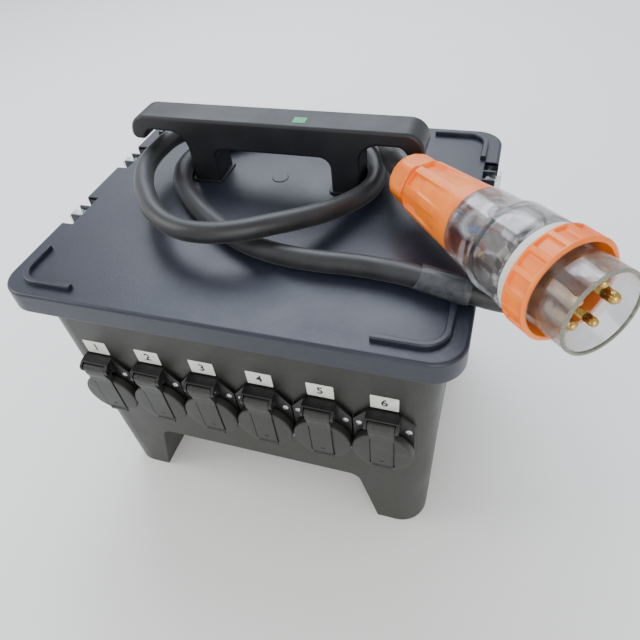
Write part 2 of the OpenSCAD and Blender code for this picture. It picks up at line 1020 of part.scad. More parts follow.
module plug_pin_carrier() {
    color("#5b4a44")
    plug_frame()
        difference() {
            translate([0, 0, carrier_t[0]])
                cylinder(r = 26.3, h = carrier_t[1] - carrier_t[0]);
            for (i = [0 : 4])
                rotate([0, 0, pin_angles[i]])
                    translate([pin_circle, 0, carrier_t[0] - 1])
                        cylinder(r = contact_r(i) + gap, h = 40);
        }
}

module plug_pins() {
    color("#c49a4a")
    plug_frame()
        for (i = [0 : 4])
            rotate([0, 0, pin_angles[i]])
                translate([pin_circle, 0, 0]) {
                    translate([0, 0, 132])
                        cylinder(r = contact_r(i), h = 60);
                    translate([0, 0, 192])
                        cylinder(r1 = contact_r(i), r2 = contact_r(i) - 1.6, h = 4);
                }
}

module plug_wires() {
    cores = ["#4f9a3a", "#f0f0ee", "#2a58a8", "#7a4a2a", "#8a8c8e"];
    plug_frame()
        for (i = [0 : 4])
            color(cores[i])
            rotate([0, 0, pin_angles[i]])
                tube(
                    [
                        [4.5, 0, 62], [5, 0, 72], [8, 2, 84], [15, 4, 96], [21, 2, 108],
                        [21, -2, 118], [17.5, -2, 125], [15.5, 0, 130.9]
                    ],
                    2.2, 8, [0, 1, 0]
                );
}

body_shell();
lid_cover();
lid_gasket();
lid_screws();
carry_handle();
handle_screws();
handle_sticker();
socket_bases();
socket_inserts();
socket_screws();
cover_pins();
cover_springs();
socket_labels();
front_cover(1);  // front_cover_1
front_cover(2);  // front_cover_2
front_cover(3);  // front_cover_3
front_cover(4);  // front_cover_4
front_cover(5);  // front_cover_5
front_cover(6);  // front_cover_6
back_cover(1);  // back_cover_1
back_cover(2);  // back_cover_2
back_cover(3);  // back_cover_3
back_cover(4);  // back_cover_4
back_cover(5);  // back_cover_5
back_cover(6);  // back_cover_6
window_pins();
left_window();
right_window();
din_rails();
breaker_bodies();
breaker_toggle(1);  // breaker_toggle_1
breaker_toggle(2);  // breaker_toggle_2
breaker_toggle(3);  // breaker_toggle_3
breaker_toggle(4);  // breaker_toggle_4
breaker_toggle(5);  // breaker_toggle_5
breaker_toggle(6);  // breaker_toggle_6
breaker_toggle(7);  // breaker_toggle_7
breaker_toggle(8);  // breaker_toggle_8
breaker_toggle(9);  // breaker_toggle_9
breaker_toggle(10);  // breaker_toggle_10
breaker_toggle(11);  // breaker_toggle_11
breaker_toggle(12);  // breaker_toggle_12
main_switch();
main_toggle();
test_button();
terminal_block();
inner_wiring();
cable_gland();
gland_locknut();
strain_relief();
supply_cable();
tape_sleeve();
plug_cable_nut();
plug_rear_housing();
plug_clear_body();
plug_lock_ring();
plug_seal();
plug_pin_carrier();
plug_pins();
plug_wires();
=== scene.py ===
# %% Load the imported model
import math
import random
import bmesh
import bpy
from mathutils import Matrix, Vector, noise


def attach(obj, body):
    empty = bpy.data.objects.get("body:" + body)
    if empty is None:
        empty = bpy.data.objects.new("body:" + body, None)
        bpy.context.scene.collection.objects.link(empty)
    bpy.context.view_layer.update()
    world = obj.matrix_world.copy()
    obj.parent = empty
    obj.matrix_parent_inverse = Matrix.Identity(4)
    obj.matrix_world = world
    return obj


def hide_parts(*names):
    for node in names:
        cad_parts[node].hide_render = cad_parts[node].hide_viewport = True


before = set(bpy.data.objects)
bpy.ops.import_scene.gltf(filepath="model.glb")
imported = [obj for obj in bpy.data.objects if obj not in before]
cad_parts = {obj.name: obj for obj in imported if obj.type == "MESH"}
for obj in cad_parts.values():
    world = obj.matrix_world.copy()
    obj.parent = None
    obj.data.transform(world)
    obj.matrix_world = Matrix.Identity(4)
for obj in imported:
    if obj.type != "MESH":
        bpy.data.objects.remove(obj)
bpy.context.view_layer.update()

MM = 0.001

# %% [markdown]
# # A portable power distribution box
# The object is a moulded tub on four feet with an overhanging lid. Outlets with flip covers stand in
# a row on the two long walls, a lead is wound twice round the handle, and a big round plug lies on
# the lid. We build each moulding as its own mesh, in metres, at the place that the CAD model gives.
#
# ## The camera
# We stand in front of the box, a little to its right, and look down on the lid at about 45 degrees.
# A camera's matrix holds three columns: its right, its up and its backward direction. Building them
# from heading, pitch and roll keeps the viewing angle easy to read.

# %% Camera
def camera_axes(heading, pitch, roll):
    """Right, up and backward directions of a camera, from three angles in degrees."""
    h, p, r = (math.radians(a) for a in (heading, pitch, roll))
    ahead = Vector((math.sin(h) * math.cos(p), math.cos(h) * math.cos(p), -math.sin(p)))
    level = ahead.cross(Vector((0, 0, 1))).normalized()
    above = level.cross(ahead)
    right = level * math.cos(r) + above * math.sin(r)
    up = -level * math.sin(r) + above * math.cos(r)
    return right, up, -ahead


right, up, back = camera_axes(-21.7, 45.3, -6.7)
camera_data = bpy.data.cameras.new("studio_camera")
camera_data.lens = 31.8
camera = bpy.data.objects.new("studio_camera", camera_data)
facing = Matrix((right, up, back)).transposed().to_4x4()
camera.matrix_world = Matrix.Translation((0.193, -0.409, 0.5815)) @ facing
bpy.context.collection.objects.link(camera)
bpy.context.scene.camera = camera
print("camera looks along", [round(-v, 3) for v in back])

# %% [markdown]
# ## Helpers for materials
# Paint charts and plastic samples are given as sRGB hex values, but shaders work with linear light,
# so one function turns hex into linear colour. A second one adds a shader node, fills its settings
# and joins its inputs, which keeps each material down to the few lines that matter.

# %% Colour and shader helpers
def tint(hex_value, alpha=1.0):
    """An sRGB hex colour such as '#2b2d2c' as linear red, green, blue and alpha."""
    parts = [int(hex_value[i:i + 2], 16) / 255 for i in (1, 3, 5)]
    return [c / 12.92 if c <= 0.04045 else ((c + 0.055) / 1.055) ** 2.4 for c in parts] + [alpha]


def add(tree, kind, inputs=None, **settings):
    """Adds a node. A socket given as an input's value is linked to it."""
    node = tree.nodes.new(kind)
    for key, value in settings.items():
        setattr(node, key, value)
    for key, value in (inputs or {}).items():
        if isinstance(value, bpy.types.NodeSocket):
            tree.links.new(value, node.inputs[key])
        else:
            node.inputs[key].default_value = value
    return node


def blank(name):
    """A new material with only its output and its Principled shader."""
    material = bpy.data.materials.new(name)
    material.use_nodes = True
    tree = material.node_tree
    return material, tree, tree.nodes["Principled BSDF"]


def ramp(tree, factor, stops):
    """A colour ramp through the given (place, colour) stops."""
    node = add(tree, "ShaderNodeValToRGB", {"Fac": factor})
    marks = node.color_ramp.elements
    while len(marks) < len(stops):
        marks.new(0.5)
    for mark, (place, colour) in zip(marks, stops):
        mark.position = place
        mark.color = colour if len(colour) == 4 else list(colour) + [1]
    return node.outputs["Color"]


# %% [markdown]
# ## Moulded polypropylene
# The tub, lid and flip covers are injection-moulded. A spark-eroded mould leaves a fine grain, about
# half a millimetre from bump to bump, that breaks up reflections. Handling leaves two more things:
# soft cloudy changes of gloss a few centimetres wide, and thin pale rub marks. The grain is a bump,
# the clouds change the roughness, and the rub marks are noise stretched along one direction.

# %% Moulded plastic
def moulded(name, dark, light, rough, grain_mm, grain_depth, rubs, coat=0.0, ior=1.5):
    material, tree, shader = blank(name)
    place = add(tree, "ShaderNodeTexCoord").outputs["Object"]
    clouds = add(tree, "ShaderNodeTexNoise",
                 {"Vector": place, "Scale": 1 / 0.045, "Detail": 4, "Roughness": 0.6}).outputs["Fac"]
    speckle = add(tree, "ShaderNodeTexNoise",
                  {"Vector": place, "Scale": 1 / 0.004, "Detail": 3, "Roughness": 0.7}).outputs["Fac"]
    stretched = add(tree, "ShaderNodeMapping",
                    {"Vector": place, "Scale": (1, 11, 5), "Rotation": (0.3, 0.2, 0.7)})
    rub_noise = add(tree, "ShaderNodeTexNoise", {"Vector": stretched.outputs["Vector"], "Scale": 26,
                                                "Detail": 6, "Roughness": 0.62}).outputs["Fac"]
    rub = add(tree, "ShaderNodeMapRange", {"Value": rub_noise, "From Min": 0.62, "From Max": 0.78,
                                          "To Min": 0.0, "To Max": rubs}).outputs["Result"]
    mixed = add(tree, "ShaderNodeMath", {0: clouds, 1: speckle}, operation="MULTIPLY_ADD")
    mixed.inputs[2].default_value = 0.12
    base = ramp(tree, mixed.outputs["Value"], [(0.25, tint(dark)), (0.6, tint(light))])
    worn = add(tree, "ShaderNodeMix", {"Factor": rub, "A": base, "B": tint("#8d8f90")}, data_type="RGBA")
    tree.links.new(worn.outputs["Result"], shader.inputs["Base Color"])
    gloss = add(tree, "ShaderNodeMapRange", {"Value": clouds, "From Min": 0.3, "From Max": 0.7,
                                            "To Min": rough - 0.06, "To Max": rough + 0.07}).outputs["Result"]
    tree.links.new(gloss, shader.inputs["Roughness"])
    pits = add(tree, "ShaderNodeTexNoise", {"Vector": place, "Scale": 1000 / grain_mm,
                                            "Detail": 2}).outputs["Fac"]
    bump = add(tree, "ShaderNodeBump", {"Height": pits, "Strength": grain_depth, "Distance": 0.0004})
    tree.links.new(bump.outputs["Normal"], shader.inputs["Normal"])
    shader.inputs["IOR"].default_value = ior
    shader.inputs["Coat Weight"].default_value = coat
    shader.inputs["Coat Roughness"].default_value = 0.25
    return material


tub_plastic = moulded("polypropylene_moulded_tub", "#191a16", "#292a24", 0.42, 0.9, 0.5, 0.10)
lid_plastic = moulded("polypropylene_moulded_lid", "#1c202c", "#282d3c", 0.38, 0.8, 0.35, 0.06)
handle_plastic = moulded("nylon_moulded_handle", "#101216", "#1a1c21", 0.46, 0.7, 0.3, 0.08)
cover_plastic = moulded("polyamide_moulded_cover", "#20211e", "#2d2e2a", 0.46, 0.8, 0.5, 0.10)
socket_plastic = moulded("polyamide_moulded_plate", "#0b0c0c", "#141515", 0.40, 0.8, 0.4, 0.06)
gland_plastic = moulded("polyamide_moulded_gland", "#15171a", "#202225", 0.42, 0.8, 0.4, 0.05)
print("plastics:", tub_plastic.name, lid_plastic.name, handle_plastic.name, cover_plastic.name)

# %% [markdown]
# ## Rubber cable sheath
# A heavy rubber lead has a dull extruded skin. Fine draw lines run along it, and it picks up pale
# dusty smears. Its grain is too fine to show at this size, so it is drawn about 1.5 mm wide.

# %% Extruded rubber
def extruded_rubber(name, dark, light):
    material, tree, shader = blank(name)
    place = add(tree, "ShaderNodeTexCoord").outputs["Object"]
    smears = add(tree, "ShaderNodeTexNoise",
                 {"Vector": place, "Scale": 1 / 0.03, "Detail": 5, "Roughness": 0.65}).outputs["Fac"]
    base = ramp(tree, smears, [(0.35, tint(dark)), (0.72, tint(light))])
    tree.links.new(base, shader.inputs["Base Color"])
    skin = add(tree, "ShaderNodeTexNoise", {"Vector": place, "Scale": 1 / 0.0015, "Detail": 4}).outputs["Fac"]
    bump = add(tree, "ShaderNodeBump", {"Height": skin, "Strength": 0.25, "Distance": 0.0005})
    tree.links.new(bump.outputs["Normal"], shader.inputs["Normal"])
    gloss = add(tree, "ShaderNodeMapRange", {"Value": smears, "From Min": 0.3, "From Max": 0.75,
                                            "To Min": 0.38, "To Max": 0.56}).outputs["Result"]
    tree.links.new(gloss, shader.inputs["Roughness"])
    shader.inputs["IOR"].default_value = 1.52
    shader.inputs["Sheen Weight"].default_value = 0.08
    shader.inputs["Sheen Roughness"].default_value = 0.5
    return material


cable_rubber = extruded_rubber("rubber_extruded_sheath", "#121315", "#24272b")
seal_rubber = extruded_rubber("silicone_moulded_seal", "#c9cbc8", "#e6e7e3")
foam_rubber = extruded_rubber("foam_rubber_strip", "#35352f", "#4a4a44")

# %% [markdown]
# ## The supply cable
# The lead leaves the gland on the right wall, loops up over the lid's edge, lies across the lid,
# winds round the handle's posts and comes back over itself into the plug. Free cables come early,
# because they decide how far the object spreads. A curve object with a round bevel is a good cable:
# its points are the middle line, and Blender sweeps the sheath along it. Automatic Bezier handles
# give one smooth bend through all the points.

# %% Cable route, in millimetres
CABLE_D = 18
ROUTE = [
    (188, 12, 214), (204, 12, 214), (221, 9, 216), (238, 1, 222), (252, -13, 232), (261, -30, 244),
    (264, -48, 257), (259, -66, 270), (245, -82, 281), (227, -92, 288.5), (207, -97, 293.5), (187, -97, 297),
    (166, -94, 298), (145, -88, 297), (120, -84, 296), (95, -83, 296), (70, -84, 296), (45, -83, 296),
    (20, -79, 296), (-4, -71, 296), (-27, -58, 296), (-50, -42, 296), (-71, -24, 296), (-89, -5, 296),
    (-102, 14, 296), (-108, 35, 296), (-106, 57, 296), (-96, 78, 296), (-80, 96, 296), (-60, 109, 296),
    (-36, 117, 296), (-11, 120, 296), (14, 117, 296), (38, 109, 296), (58, 95, 296), (74, 77, 296),
    (84, 57, 296), (87, 36, 297), (84, 14, 299), (75, -8, 302), (62, -30, 306), (45, -51, 311),
    (24, -70, 315), (1, -84, 316), (-26, -91, 316), (-53, -87, 315), (-78, -73, 315), (-99, -51, 315),
    (-117, -25, 315), (-128, 3, 315), (-130, 33, 315), (-126, 60, 314), (-114, 85, 310), (-95, 107, 304),
    (-71, 125, 299), (-43, 136, 297), (-12, 140, 296), (18, 137, 297), (46, 127, 301), (67, 110, 307),
    (82, 89, 313), (91, 67, 316), (98, 47, 317), (108, 27, 319), (121.2, 9.4, 321.2), (130.5, -1, 322.5),
    (143.7, -15.9, 324.4), (157, -30.7, 326.3), (171.4, -46.9, 328.4),
]

# %% Cable
cable_curve = bpy.data.curves.new("supply_lead", "CURVE")
cable_curve.dimensions = "3D"
cable_curve.bevel_depth = CABLE_D / 2 * MM
cable_curve.bevel_resolution = 7
cable_curve.resolution_u = 8
cable_curve.use_fill_caps = True
spline = cable_curve.splines.new("BEZIER")
spline.bezier_points.add(len(ROUTE) - 1)
for knot, point in zip(spline.bezier_points, ROUTE):
    knot.co = Vector(point) * MM
    knot.handle_left_type = knot.handle_right_type = "AUTO"
cable = bpy.data.objects.new("supply_lead", cable_curve)
bpy.context.collection.objects.link(cable)
cable_curve.materials.append(cable_rubber)
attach(cable, "box")
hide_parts("supply_cable")

# %% [markdown]
# ## Helpers for meshes
# Most mouldings here are one of three kinds of shape. A *lathe* shape is a profile turned round an
# axis, a *prism* is a flat outline pushed straight, and a *loft* joins rings of points. Each helper
# fills a bmesh, so several shapes can be gathered in one piece. Real mouldings have no razor edges:
# the last helper rounds every sharp edge with the Bevel modifier, bakes the result into the mesh
# and marks what is still sharp, so that the shading stays crisp there and smooth elsewhere.

# %% Outlines
def rounded(corners, steps=6):
    """A closed outline from (x, y, radius) corners, with each corner turned into an arc."""
    out = []
    for i, (x, y, r) in enumerate(corners):
        here = Vector((x, y))
        if r <= 0:
            out.append(here)
            continue
        to_prev = (Vector(corners[i - 1][:2]) - here).normalized()
        to_next = (Vector(corners[(i + 1) % len(corners)][:2]) - here).normalized()
        half = to_prev.angle(to_next) / 2
        centre = here + (to_prev + to_next).normalized() * (r / math.sin(half))
        start = here + to_prev * (r / math.tan(half)) - centre
        sweep = math.pi - 2 * half
        sign = 1 if start.to_3d().cross((here - centre).to_3d()).z > 0 else -1
        for k in range(steps + 1):
            out.append(centre + Matrix.Rotation(sign * sweep * k / steps, 2) @ start)
    return out


def round_rect(w, d, r, steps=10):
    return rounded([(w / 2, -d / 2, r), (w / 2, d / 2, r), (-w / 2, d / 2, r), (-w / 2, -d / 2, r)], steps)


# %% Solids
def loft(bm, rings, caps=True):
    """Joins rings of points, given in millimetres, into one skin."""
    rows = [[bm.verts.new(Vector(p) * MM) for p in ring] for ring in rings]
    n = len(rows[0])
    for low, high in zip(rows, rows[1:]):
        for k in range(n):
            bm.faces.new((low[k], low[(k + 1) % n], high[(k + 1) % n], high[k]))
    if caps:
        bm.faces.new(list(reversed(rows[0])))
        bm.faces.new(rows[-1])
    return bm


def prism(bm, outline, low, high, place=Matrix()):
    """Pushes a flat outline from low to high along the third axis of its place, in millimetres."""
    rings = [[place @ Vector((p[0], p[1], z)) for p in outline] for z in (low, high)]
    return loft(bm, rings)


def lathe(bm, profile, place=Matrix(), n=64, shape=None):
    """Turns (distance along the axis, radius) pairs round the axis of its place."""
    rings = []
    for t, r in profile:
        ring = []
        for k in range(n):
            a = 2 * math.pi * k / n
            rr = shape(t, r, a) if shape else r
            ring.append(place @ Vector((rr * math.cos(a), rr * math.sin(a), t)))
        rings.append(ring)
    closed = profile[0] == profile[-1]
    return loft(bm, rings, caps=not closed)


def block(bm, low, high, place=Matrix()):
    outline = [(low[0], low[1]), (high[0], low[1]), (high[0], high[1]), (low[0], high[1])]
    return prism(bm, outline, low[2], high[2], place)


# %% From bmesh to a finished piece
def bake(obj):
    """Applies an object's modifiers to its mesh."""
    depsgraph = bpy.context.evaluated_depsgraph_get()
    mesh = bpy.data.meshes.new_from_object(obj.evaluated_get(depsgraph))
    obj.modifiers.clear()
    obj.data = mesh


def solid(name, bm):
    """An object from a bmesh, with its faces turned outwards."""
    bmesh.ops.remove_doubles(bm, verts=bm.verts, dist=1e-6)
    bmesh.ops.recalc_face_normals(bm, faces=bm.faces)
    mesh = bpy.data.meshes.new(name)
    bm.to_mesh(mesh)
    bm.free()
    obj = bpy.data.objects.new(name, mesh)
    bpy.context.collection.objects.link(obj)
    return obj


def carve(obj, cutter, operation="DIFFERENCE"):
    """Cuts one object with another, which is then thrown away."""
    change = obj.modifiers.new("carve", "BOOLEAN")
    change.operation = operation
    change.solver = "EXACT"
    change.object = cutter
    bake(obj)
    bpy.data.objects.remove(cutter)
    return obj


def ease(obj, width=0.6, segments=2, angle=35):
    """Rounds sharp edges by width millimetres and shades the rest smooth."""
    if width:
        bevel = obj.modifiers.new("bevel", "BEVEL")
        bevel.width = width * MM
        bevel.segments = segments
        bevel.limit_method = "ANGLE"
        bevel.angle_limit = math.radians(angle)
        bevel.use_clamp_overlap = True
        bake(obj)
    bm = bmesh.new()
    bm.from_mesh(obj.data)
    for face in bm.faces:
        face.smooth = True
    for edge in bm.edges:
        edge.smooth = len(edge.link_faces) == 2 and edge.calc_face_angle(0) < math.radians(32)
    bm.to_mesh(obj.data)
    bm.free()
    if width:
        flat = obj.modifiers.new("weighted_normals", "WEIGHTED_NORMAL")
        flat.keep_sharp = True
        bake(obj)
    return obj


def fit(obj, body, slot, material, *nodes):
    """Gives a piece its material, its body and the CAD nodes that it stands for. The slot argument is not
    used.
    """
    obj.data.materials.clear()
    obj.data.materials.append(material)
    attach(obj, body)
    if nodes:
        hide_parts(*nodes)
    print(obj.name, len(obj.data.polygons), "faces on", body)
    return obj


# %% [markdown]
# ## The tub
# The tub is one tapered moulding with a floor above four hollow feet. Its rings are rounded
# rectangles that grow a little towards the rim, which is the draft that lets it leave its mould.
# The arches between the feet and the hollow inside are cut with Booleans, the way a CAD tool works,
# and the edges are rounded at the end. Modelling the feet one by one would leave seams in the walls.

# %% Sizes that the tub, the lid and the outlets share
BOX_H, RIM_Z, SKIRT_Z = 287, 277, 266
TUB_W, TUB_D, TUB_R = 346, 282, 27
LID_W, LID_D, LID_R = 386, 326, 26
LEAN_X, LEAN_Y = 5.5 / RIM_Z, 6.5 / RIM_Z
SOCKET_Z, PITCH = 153, 54


def wall_x(z):
    return TUB_W / 2 + LEAN_X * z


def wall_y(z):
    return TUB_D / 2 + LEAN_Y * z


def tub_ring(z, inset=0.0):
    return [(p[0], p[1], z) for p in round_rect(2 * (wall_x(z) - inset), 2 * (wall_y(z) - inset),
                                                TUB_R - inset, 14)]


def arch(half_low, half_high, grow=0.0):
    """Outline of the space between two feet."""
    top = 80 + grow
    low, high = half_low + grow, half_high + grow
    return rounded([(-low - 9, -40, 0), (low + 9, -40, 0), (high, top, 12), (-high, top, 12)], 8)


FRONT_PLACE = Matrix(((1, 0, 0, 0), (0, 0, 1, 0), (0, 1, 0, 0), (0, 0, 0, 1)))
SIDE_PLACE = Matrix(((0, 0, 1, 0), (1, 0, 0, 0), (0, 1, 0, 0), (0, 0, 0, 1)))


def arch_cutters(grow):
    front = solid("front_arch", prism(bmesh.new(), arch(127, 108, grow), -200, 200, FRONT_PLACE))
    side = solid("side_arch", prism(bmesh.new(), arch(95, 76, grow), -200, 200, SIDE_PLACE))
    return front, side


# %% Tub walls, feet and hollow
WALL = 4
tub_rings = [tub_ring(0.0, 1.2), tub_ring(1.2)] + [tub_ring(z) for z in (60, 140, 210, RIM_Z)]
tub = solid("tub", loft(bmesh.new(), tub_rings))
hollow = solid("tub_hollow", loft(bmesh.new(),
                                  [tub_ring(WALL, WALL), tub_ring(140, WALL), tub_ring(RIM_Z + 3, WALL)]))
for cutter in arch_cutters(WALL):
    carve(hollow, cutter)
for cutter in arch_cutters(0):
    carve(tub, cutter)
print("tub before its hollow:", len(tub.data.polygons), "faces")

# %% [markdown]
# The outlets stand on a flat land, because their end plates reach past the round corners. Their
# places come from one list, which every outlet part uses again. `on_wall` gives the matrix of a
# place on the leaning wall: X to the right, Y into the wall, and Z up along it.

# %% Outlet places
def on_wall(side, x, z=SOCKET_Z):
    turn = Matrix.Rotation(0 if side > 0 else math.pi, 4, "Z")
    lean = Matrix.Rotation(math.atan(LEAN_Y), 4, "X")
    return turn @ Matrix.Translation((x, -wall_y(z), z)) @ lean


OUTLETS = [(side, n, on_wall(side, (n - 3.5) * PITCH)) for side in (1, -1) for n in range(1, 7)]
OUT = Matrix(((1, 0, 0, 0), (0, 0, -1, 0), (0, 1, 0, 0), (0, 0, 0, 1)))
print(len(OUTLETS), "outlet places,", PITCH, "mm apart")

lands = bmesh.new()
for side in (1, -1):
    prism(lands, round_rect(322.6, 53, 5), -4, 0, on_wall(side, 0) @ OUT @ Matrix.Translation((0, 7, 0)))
carve(tub, solid("lands", lands), "UNION")
carve(tub, hollow)

# %% Openings in the tub
holes = bmesh.new()
for side, n, place in OUTLETS:
    lathe(holes, [(-16, 22.8), (8, 22.8)], place @ OUT, 48)
block(holes, (-195, 1.5 - 106.7, 192), (-160, 1.5 + 106.7, 238))
block(holes, (160, 79 - 35.9, 192), (195, 79 + 35.9, 238))
to_right = Matrix.Translation((160, 12, 214)) @ Matrix.Rotation(math.pi / 2, 4, "Y")
lathe(holes, [(0, 12.6), (40, 12.6)], to_right, 48)
carve(tub, solid("tub_holes", holes))
ease(tub, 1.1, 2)
fit(tub, "box", "tub_plastic", tub_plastic, "body_shell")

# %% [markdown]
# ## The lid
# The lid is a shallow tray turned upside down. Its top edge is a full soft radius, so the loft has a
# few closely spaced rings there. Notches for the window hinges are cut through the side flanges, and
# four L-shaped ribs on top keep a second box from sliding off. The ribs are bevelled more than the
# rest, because they are the first thing that a stacked box rubs.

# %% Lid tray
def lid_ring(z, inset):
    return [(p[0], p[1], z) for p in round_rect(LID_W - 2 * inset, LID_D - 2 * inset, LID_R - inset, 16)]


EDGE_R = 3
edge = [(BOX_H - EDGE_R * (1 - math.sin(math.radians(a))), EDGE_R * (1 - math.cos(math.radians(a))))
        for a in range(0, 91, 15)]
lid_rings = [lid_ring(SKIRT_Z, 0.7), lid_ring(SKIRT_Z + 0.8, 0)] + [lid_ring(z, i) for z, i in edge]
lid = solid("lid", loft(bmesh.new(), lid_rings))
under = bmesh.new()
loft(under, [[(p[0], p[1], z) for p in round_rect(LID_W - 6.6, LID_D - 6.6, LID_R - 3.3, 16)]
             for z in (SKIRT_Z - 2, BOX_H - 4)])
STATIONS = [(-1, -45), (-1, 55), (1, 79)]
carve(lid, solid("lid_under", under))
notches = bmesh.new()
for side, y in STATIONS:
    block(notches, (min(side * 179.75, side * 200), y - 22, 260),
          (max(side * 179.75, side * 200), y + 22, 295))
carve(lid, solid("lid_notches", notches))

# %% Hinge webs and corner ribs
extras = bmesh.new()
for side, y in STATIONS:
    for dy, t in ((-7.55, 2.5), (7.55, 2.5), (-24, 4), (24, 4)):
        low, high = sorted((side * 178.6, side * 191.6))
        block(extras, (low, y + dy - t / 2, 273.6), (high, y + dy + t / 2, 286.2))
RIB = [(-2.75, -1), (2.75, -1), (2.75, 3.1), (2.4, 4.0), (1.6, 4.5), (-1.6, 4.5), (-2.4, 4.0), (-2.75, 3.1)]
RIB_TURN_R = 17.25
spine = [(177.25, 104), (177.25, 115), (177.25, 126)]
spine += [(160 + RIB_TURN_R * math.cos(a), 131 + RIB_TURN_R * math.sin(a))
          for a in (math.radians(9 * k) for k in range(11))]
spine += [(154, 148.25), (140, 148.25), (125, 148.25)]
for sx in (1, -1):
    for sy in (1, -1):
        rings = []
        for i, p in enumerate(spine):
            ahead = (Vector(spine[min(i + 1, len(spine) - 1)]) - Vector(spine[max(i - 1, 0)])).normalized()
            rings.append([(sx * (p[0] + u * ahead.y), sy * (p[1] - u * ahead.x), BOX_H + h) for u, h in RIB])
        loft(extras, rings)
extra = ease(solid("lid_extras", extras), 0.5, 2)
ease(lid, 0.7, 2)
joined = bmesh.new()
joined.from_mesh(lid.data)
joined.from_mesh(extra.data)
lathe(joined, [(BOX_H - 0.5, 8), (BOX_H + 0.2, 8), (BOX_H + 0.6, 7.4), (BOX_H + 0.6, 0.1)],
      Matrix.Translation((-10, 41, 0)), 40)
joined.to_mesh(lid.data)
joined.free()
bpy.data.objects.remove(extra)
ease(lid, 0)
fit(lid, "box", "lid_plastic", lid_plastic, "lid_cover")

# %% [markdown]
# ## The carry handle
# The handle is a thick arch with a horn at each end, and the lead is wound round its posts under the
# horns. Its side outline holds all the character: a flat grip, round ends, hooked tips and a
# generous hand opening. We draw that outline once with its corner radii, push it to the handle's
# depth, and round the long edges by 3 mm so that it looks comfortable to hold.

# %% Handle
HANDLE_X, HANDLE_Y = -10, 41
half = [(142, 64, 17.5), (142, 40, 6), (129.5, 40, 5), (122, 50, 9), (84.5, 50, 18), (84.5, 0, 0),
        (57.5, 0, 0), (57.5, 34.5, 11)]
outline = half + [(-x, z, r) for x, z, r in reversed(half)]
stand = Matrix.Translation((HANDLE_X, HANDLE_Y, BOX_H)) @ FRONT_PLACE
handle = ease(solid("handle", prism(bmesh.new(), rounded(outline, 10), -17, 17, stand)), 3.2, 4, 50)
feet = bmesh.new()
for side in (1, -1):
    prism(feet, round_rect(33, 39, 5, 5), 0, 2.2, Matrix.Translation((HANDLE_X + side * 71, HANDLE_Y, BOX_H)))
feet = ease(solid("handle_feet", feet), 1, 2)
joined = bmesh.new()
joined.from_mesh(handle.data)
joined.from_mesh(feet.data)
joined.to_mesh(handle.data)
joined.free()
bpy.data.objects.remove(feet)
ease(handle, 0)
fit(handle, "box", "handle_plastic", handle_plastic, "carry_handle")

# %% [markdown]
# ## Outlet plates
# Each outlet has a base plate with a hump that carries the cover's hinge, a collar that the cover
# closes on, and a round cup that reaches into the tub. All twelve are alike, so one is made in its
# own small frame and copied to every place. In that frame X runs along the row, Y up the wall and Z
# out of it.

# %% Copies of a local mesh
def copies(name, master, places):
    """One object that holds a copy of a local mesh at each place."""
    bm = bmesh.new()
    for place in places:
        mesh = master.data.copy()
        shift = place.copy()
        shift.translation = place.translation * MM
        mesh.transform(shift)
        bm.from_mesh(mesh)
        bpy.data.meshes.remove(mesh)
    mesh = bpy.data.meshes.new(name)
    bm.to_mesh(mesh)
    bm.free()
    obj = bpy.data.objects.new(name, mesh)
    bpy.context.collection.objects.link(obj)
    return obj


def gather(name, *parts):
    """Joins finished local parts into one object and removes them."""
    bm = bmesh.new()
    for part in parts:
        bm.from_mesh(part.data)
        bpy.data.objects.remove(part)
    mesh = bpy.data.meshes.new(name)
    bm.to_mesh(mesh)
    bm.free()
    obj = bpy.data.objects.new(name, mesh)
    bpy.context.collection.objects.link(obj)
    return obj


SIDEWAYS = Matrix(((0, 0, 1, 0), (0, 1, 0, 0), (1, 0, 0, 0), (0, 0, 0, 1)))
places = [place @ OUT for side, n, place in OUTLETS]

# %% Outlet plate
corners = [(-26.3, -19.5, 3), (26.3, -19.5, 3), (26.3, 33, 2), (14.6, 47.5, 3), (-14.6, 47.5, 3),
           (-26.3, 33, 2)]
plate = solid("plate", prism(bmesh.new(), rounded(corners, 5), 0.05, 4))
carve(plate, solid("plate_hole", lathe(bmesh.new(), [(-2, 20.6), (8, 20.6)], n=64)))
ease(plate, 0.7, 3)
cup = lathe(bmesh.new(), [(-30, 0.02), (-30, 22.4), (0.5, 22.4), (0.5, 22.2), (5.9, 22.2), (6.4, 21.8),
                          (6.4, 20.4),
                          (5.9, 20), (-28, 20), (-28, 0.02)], n=64)
cup = ease(solid("cup", cup), 0)
ears = bmesh.new()
ear = rounded([(-13, 36.9, 1), (-16.4, 39, 3.5), (-16.4, 44.5, 4), (-12, 47.2, 3), (-3.5, 48.5, 0),
               (-3.5, 34, 0)], 5)
for x in (-14.3, 11.9):
    prism(ears, [(-p[0], p[1]) for p in ear][::-1], x, x + 2.4, SIDEWAYS)
roof = rounded([(3.5, 44.5, 0), (3.5, 48.6, 0), (11.6, 47.8, 1.2), (12, 46.5, 0.5), (8.2, 46.3, 1)], 4)
prism(ears, roof, -14.2, 14.2, SIDEWAYS)
ears = ease(solid("ears", ears), 0.5, 2)
outlet = gather("outlet", plate, cup, ears)
plates = copies("outlet_plates", outlet, places)
bpy.data.objects.remove(outlet)
fit(plates, "box", "socket_plastic", socket_plastic, "socket_bases")

# %% [markdown]
# ## Flip covers
# A flip cover is a shallow cap on a stout arm. Its face has a raised finger panel, edged by a fine
# step, with a small grip mark near the lip. Built once, it is copied to twelve objects, because
# every cover turns on its own hinge.

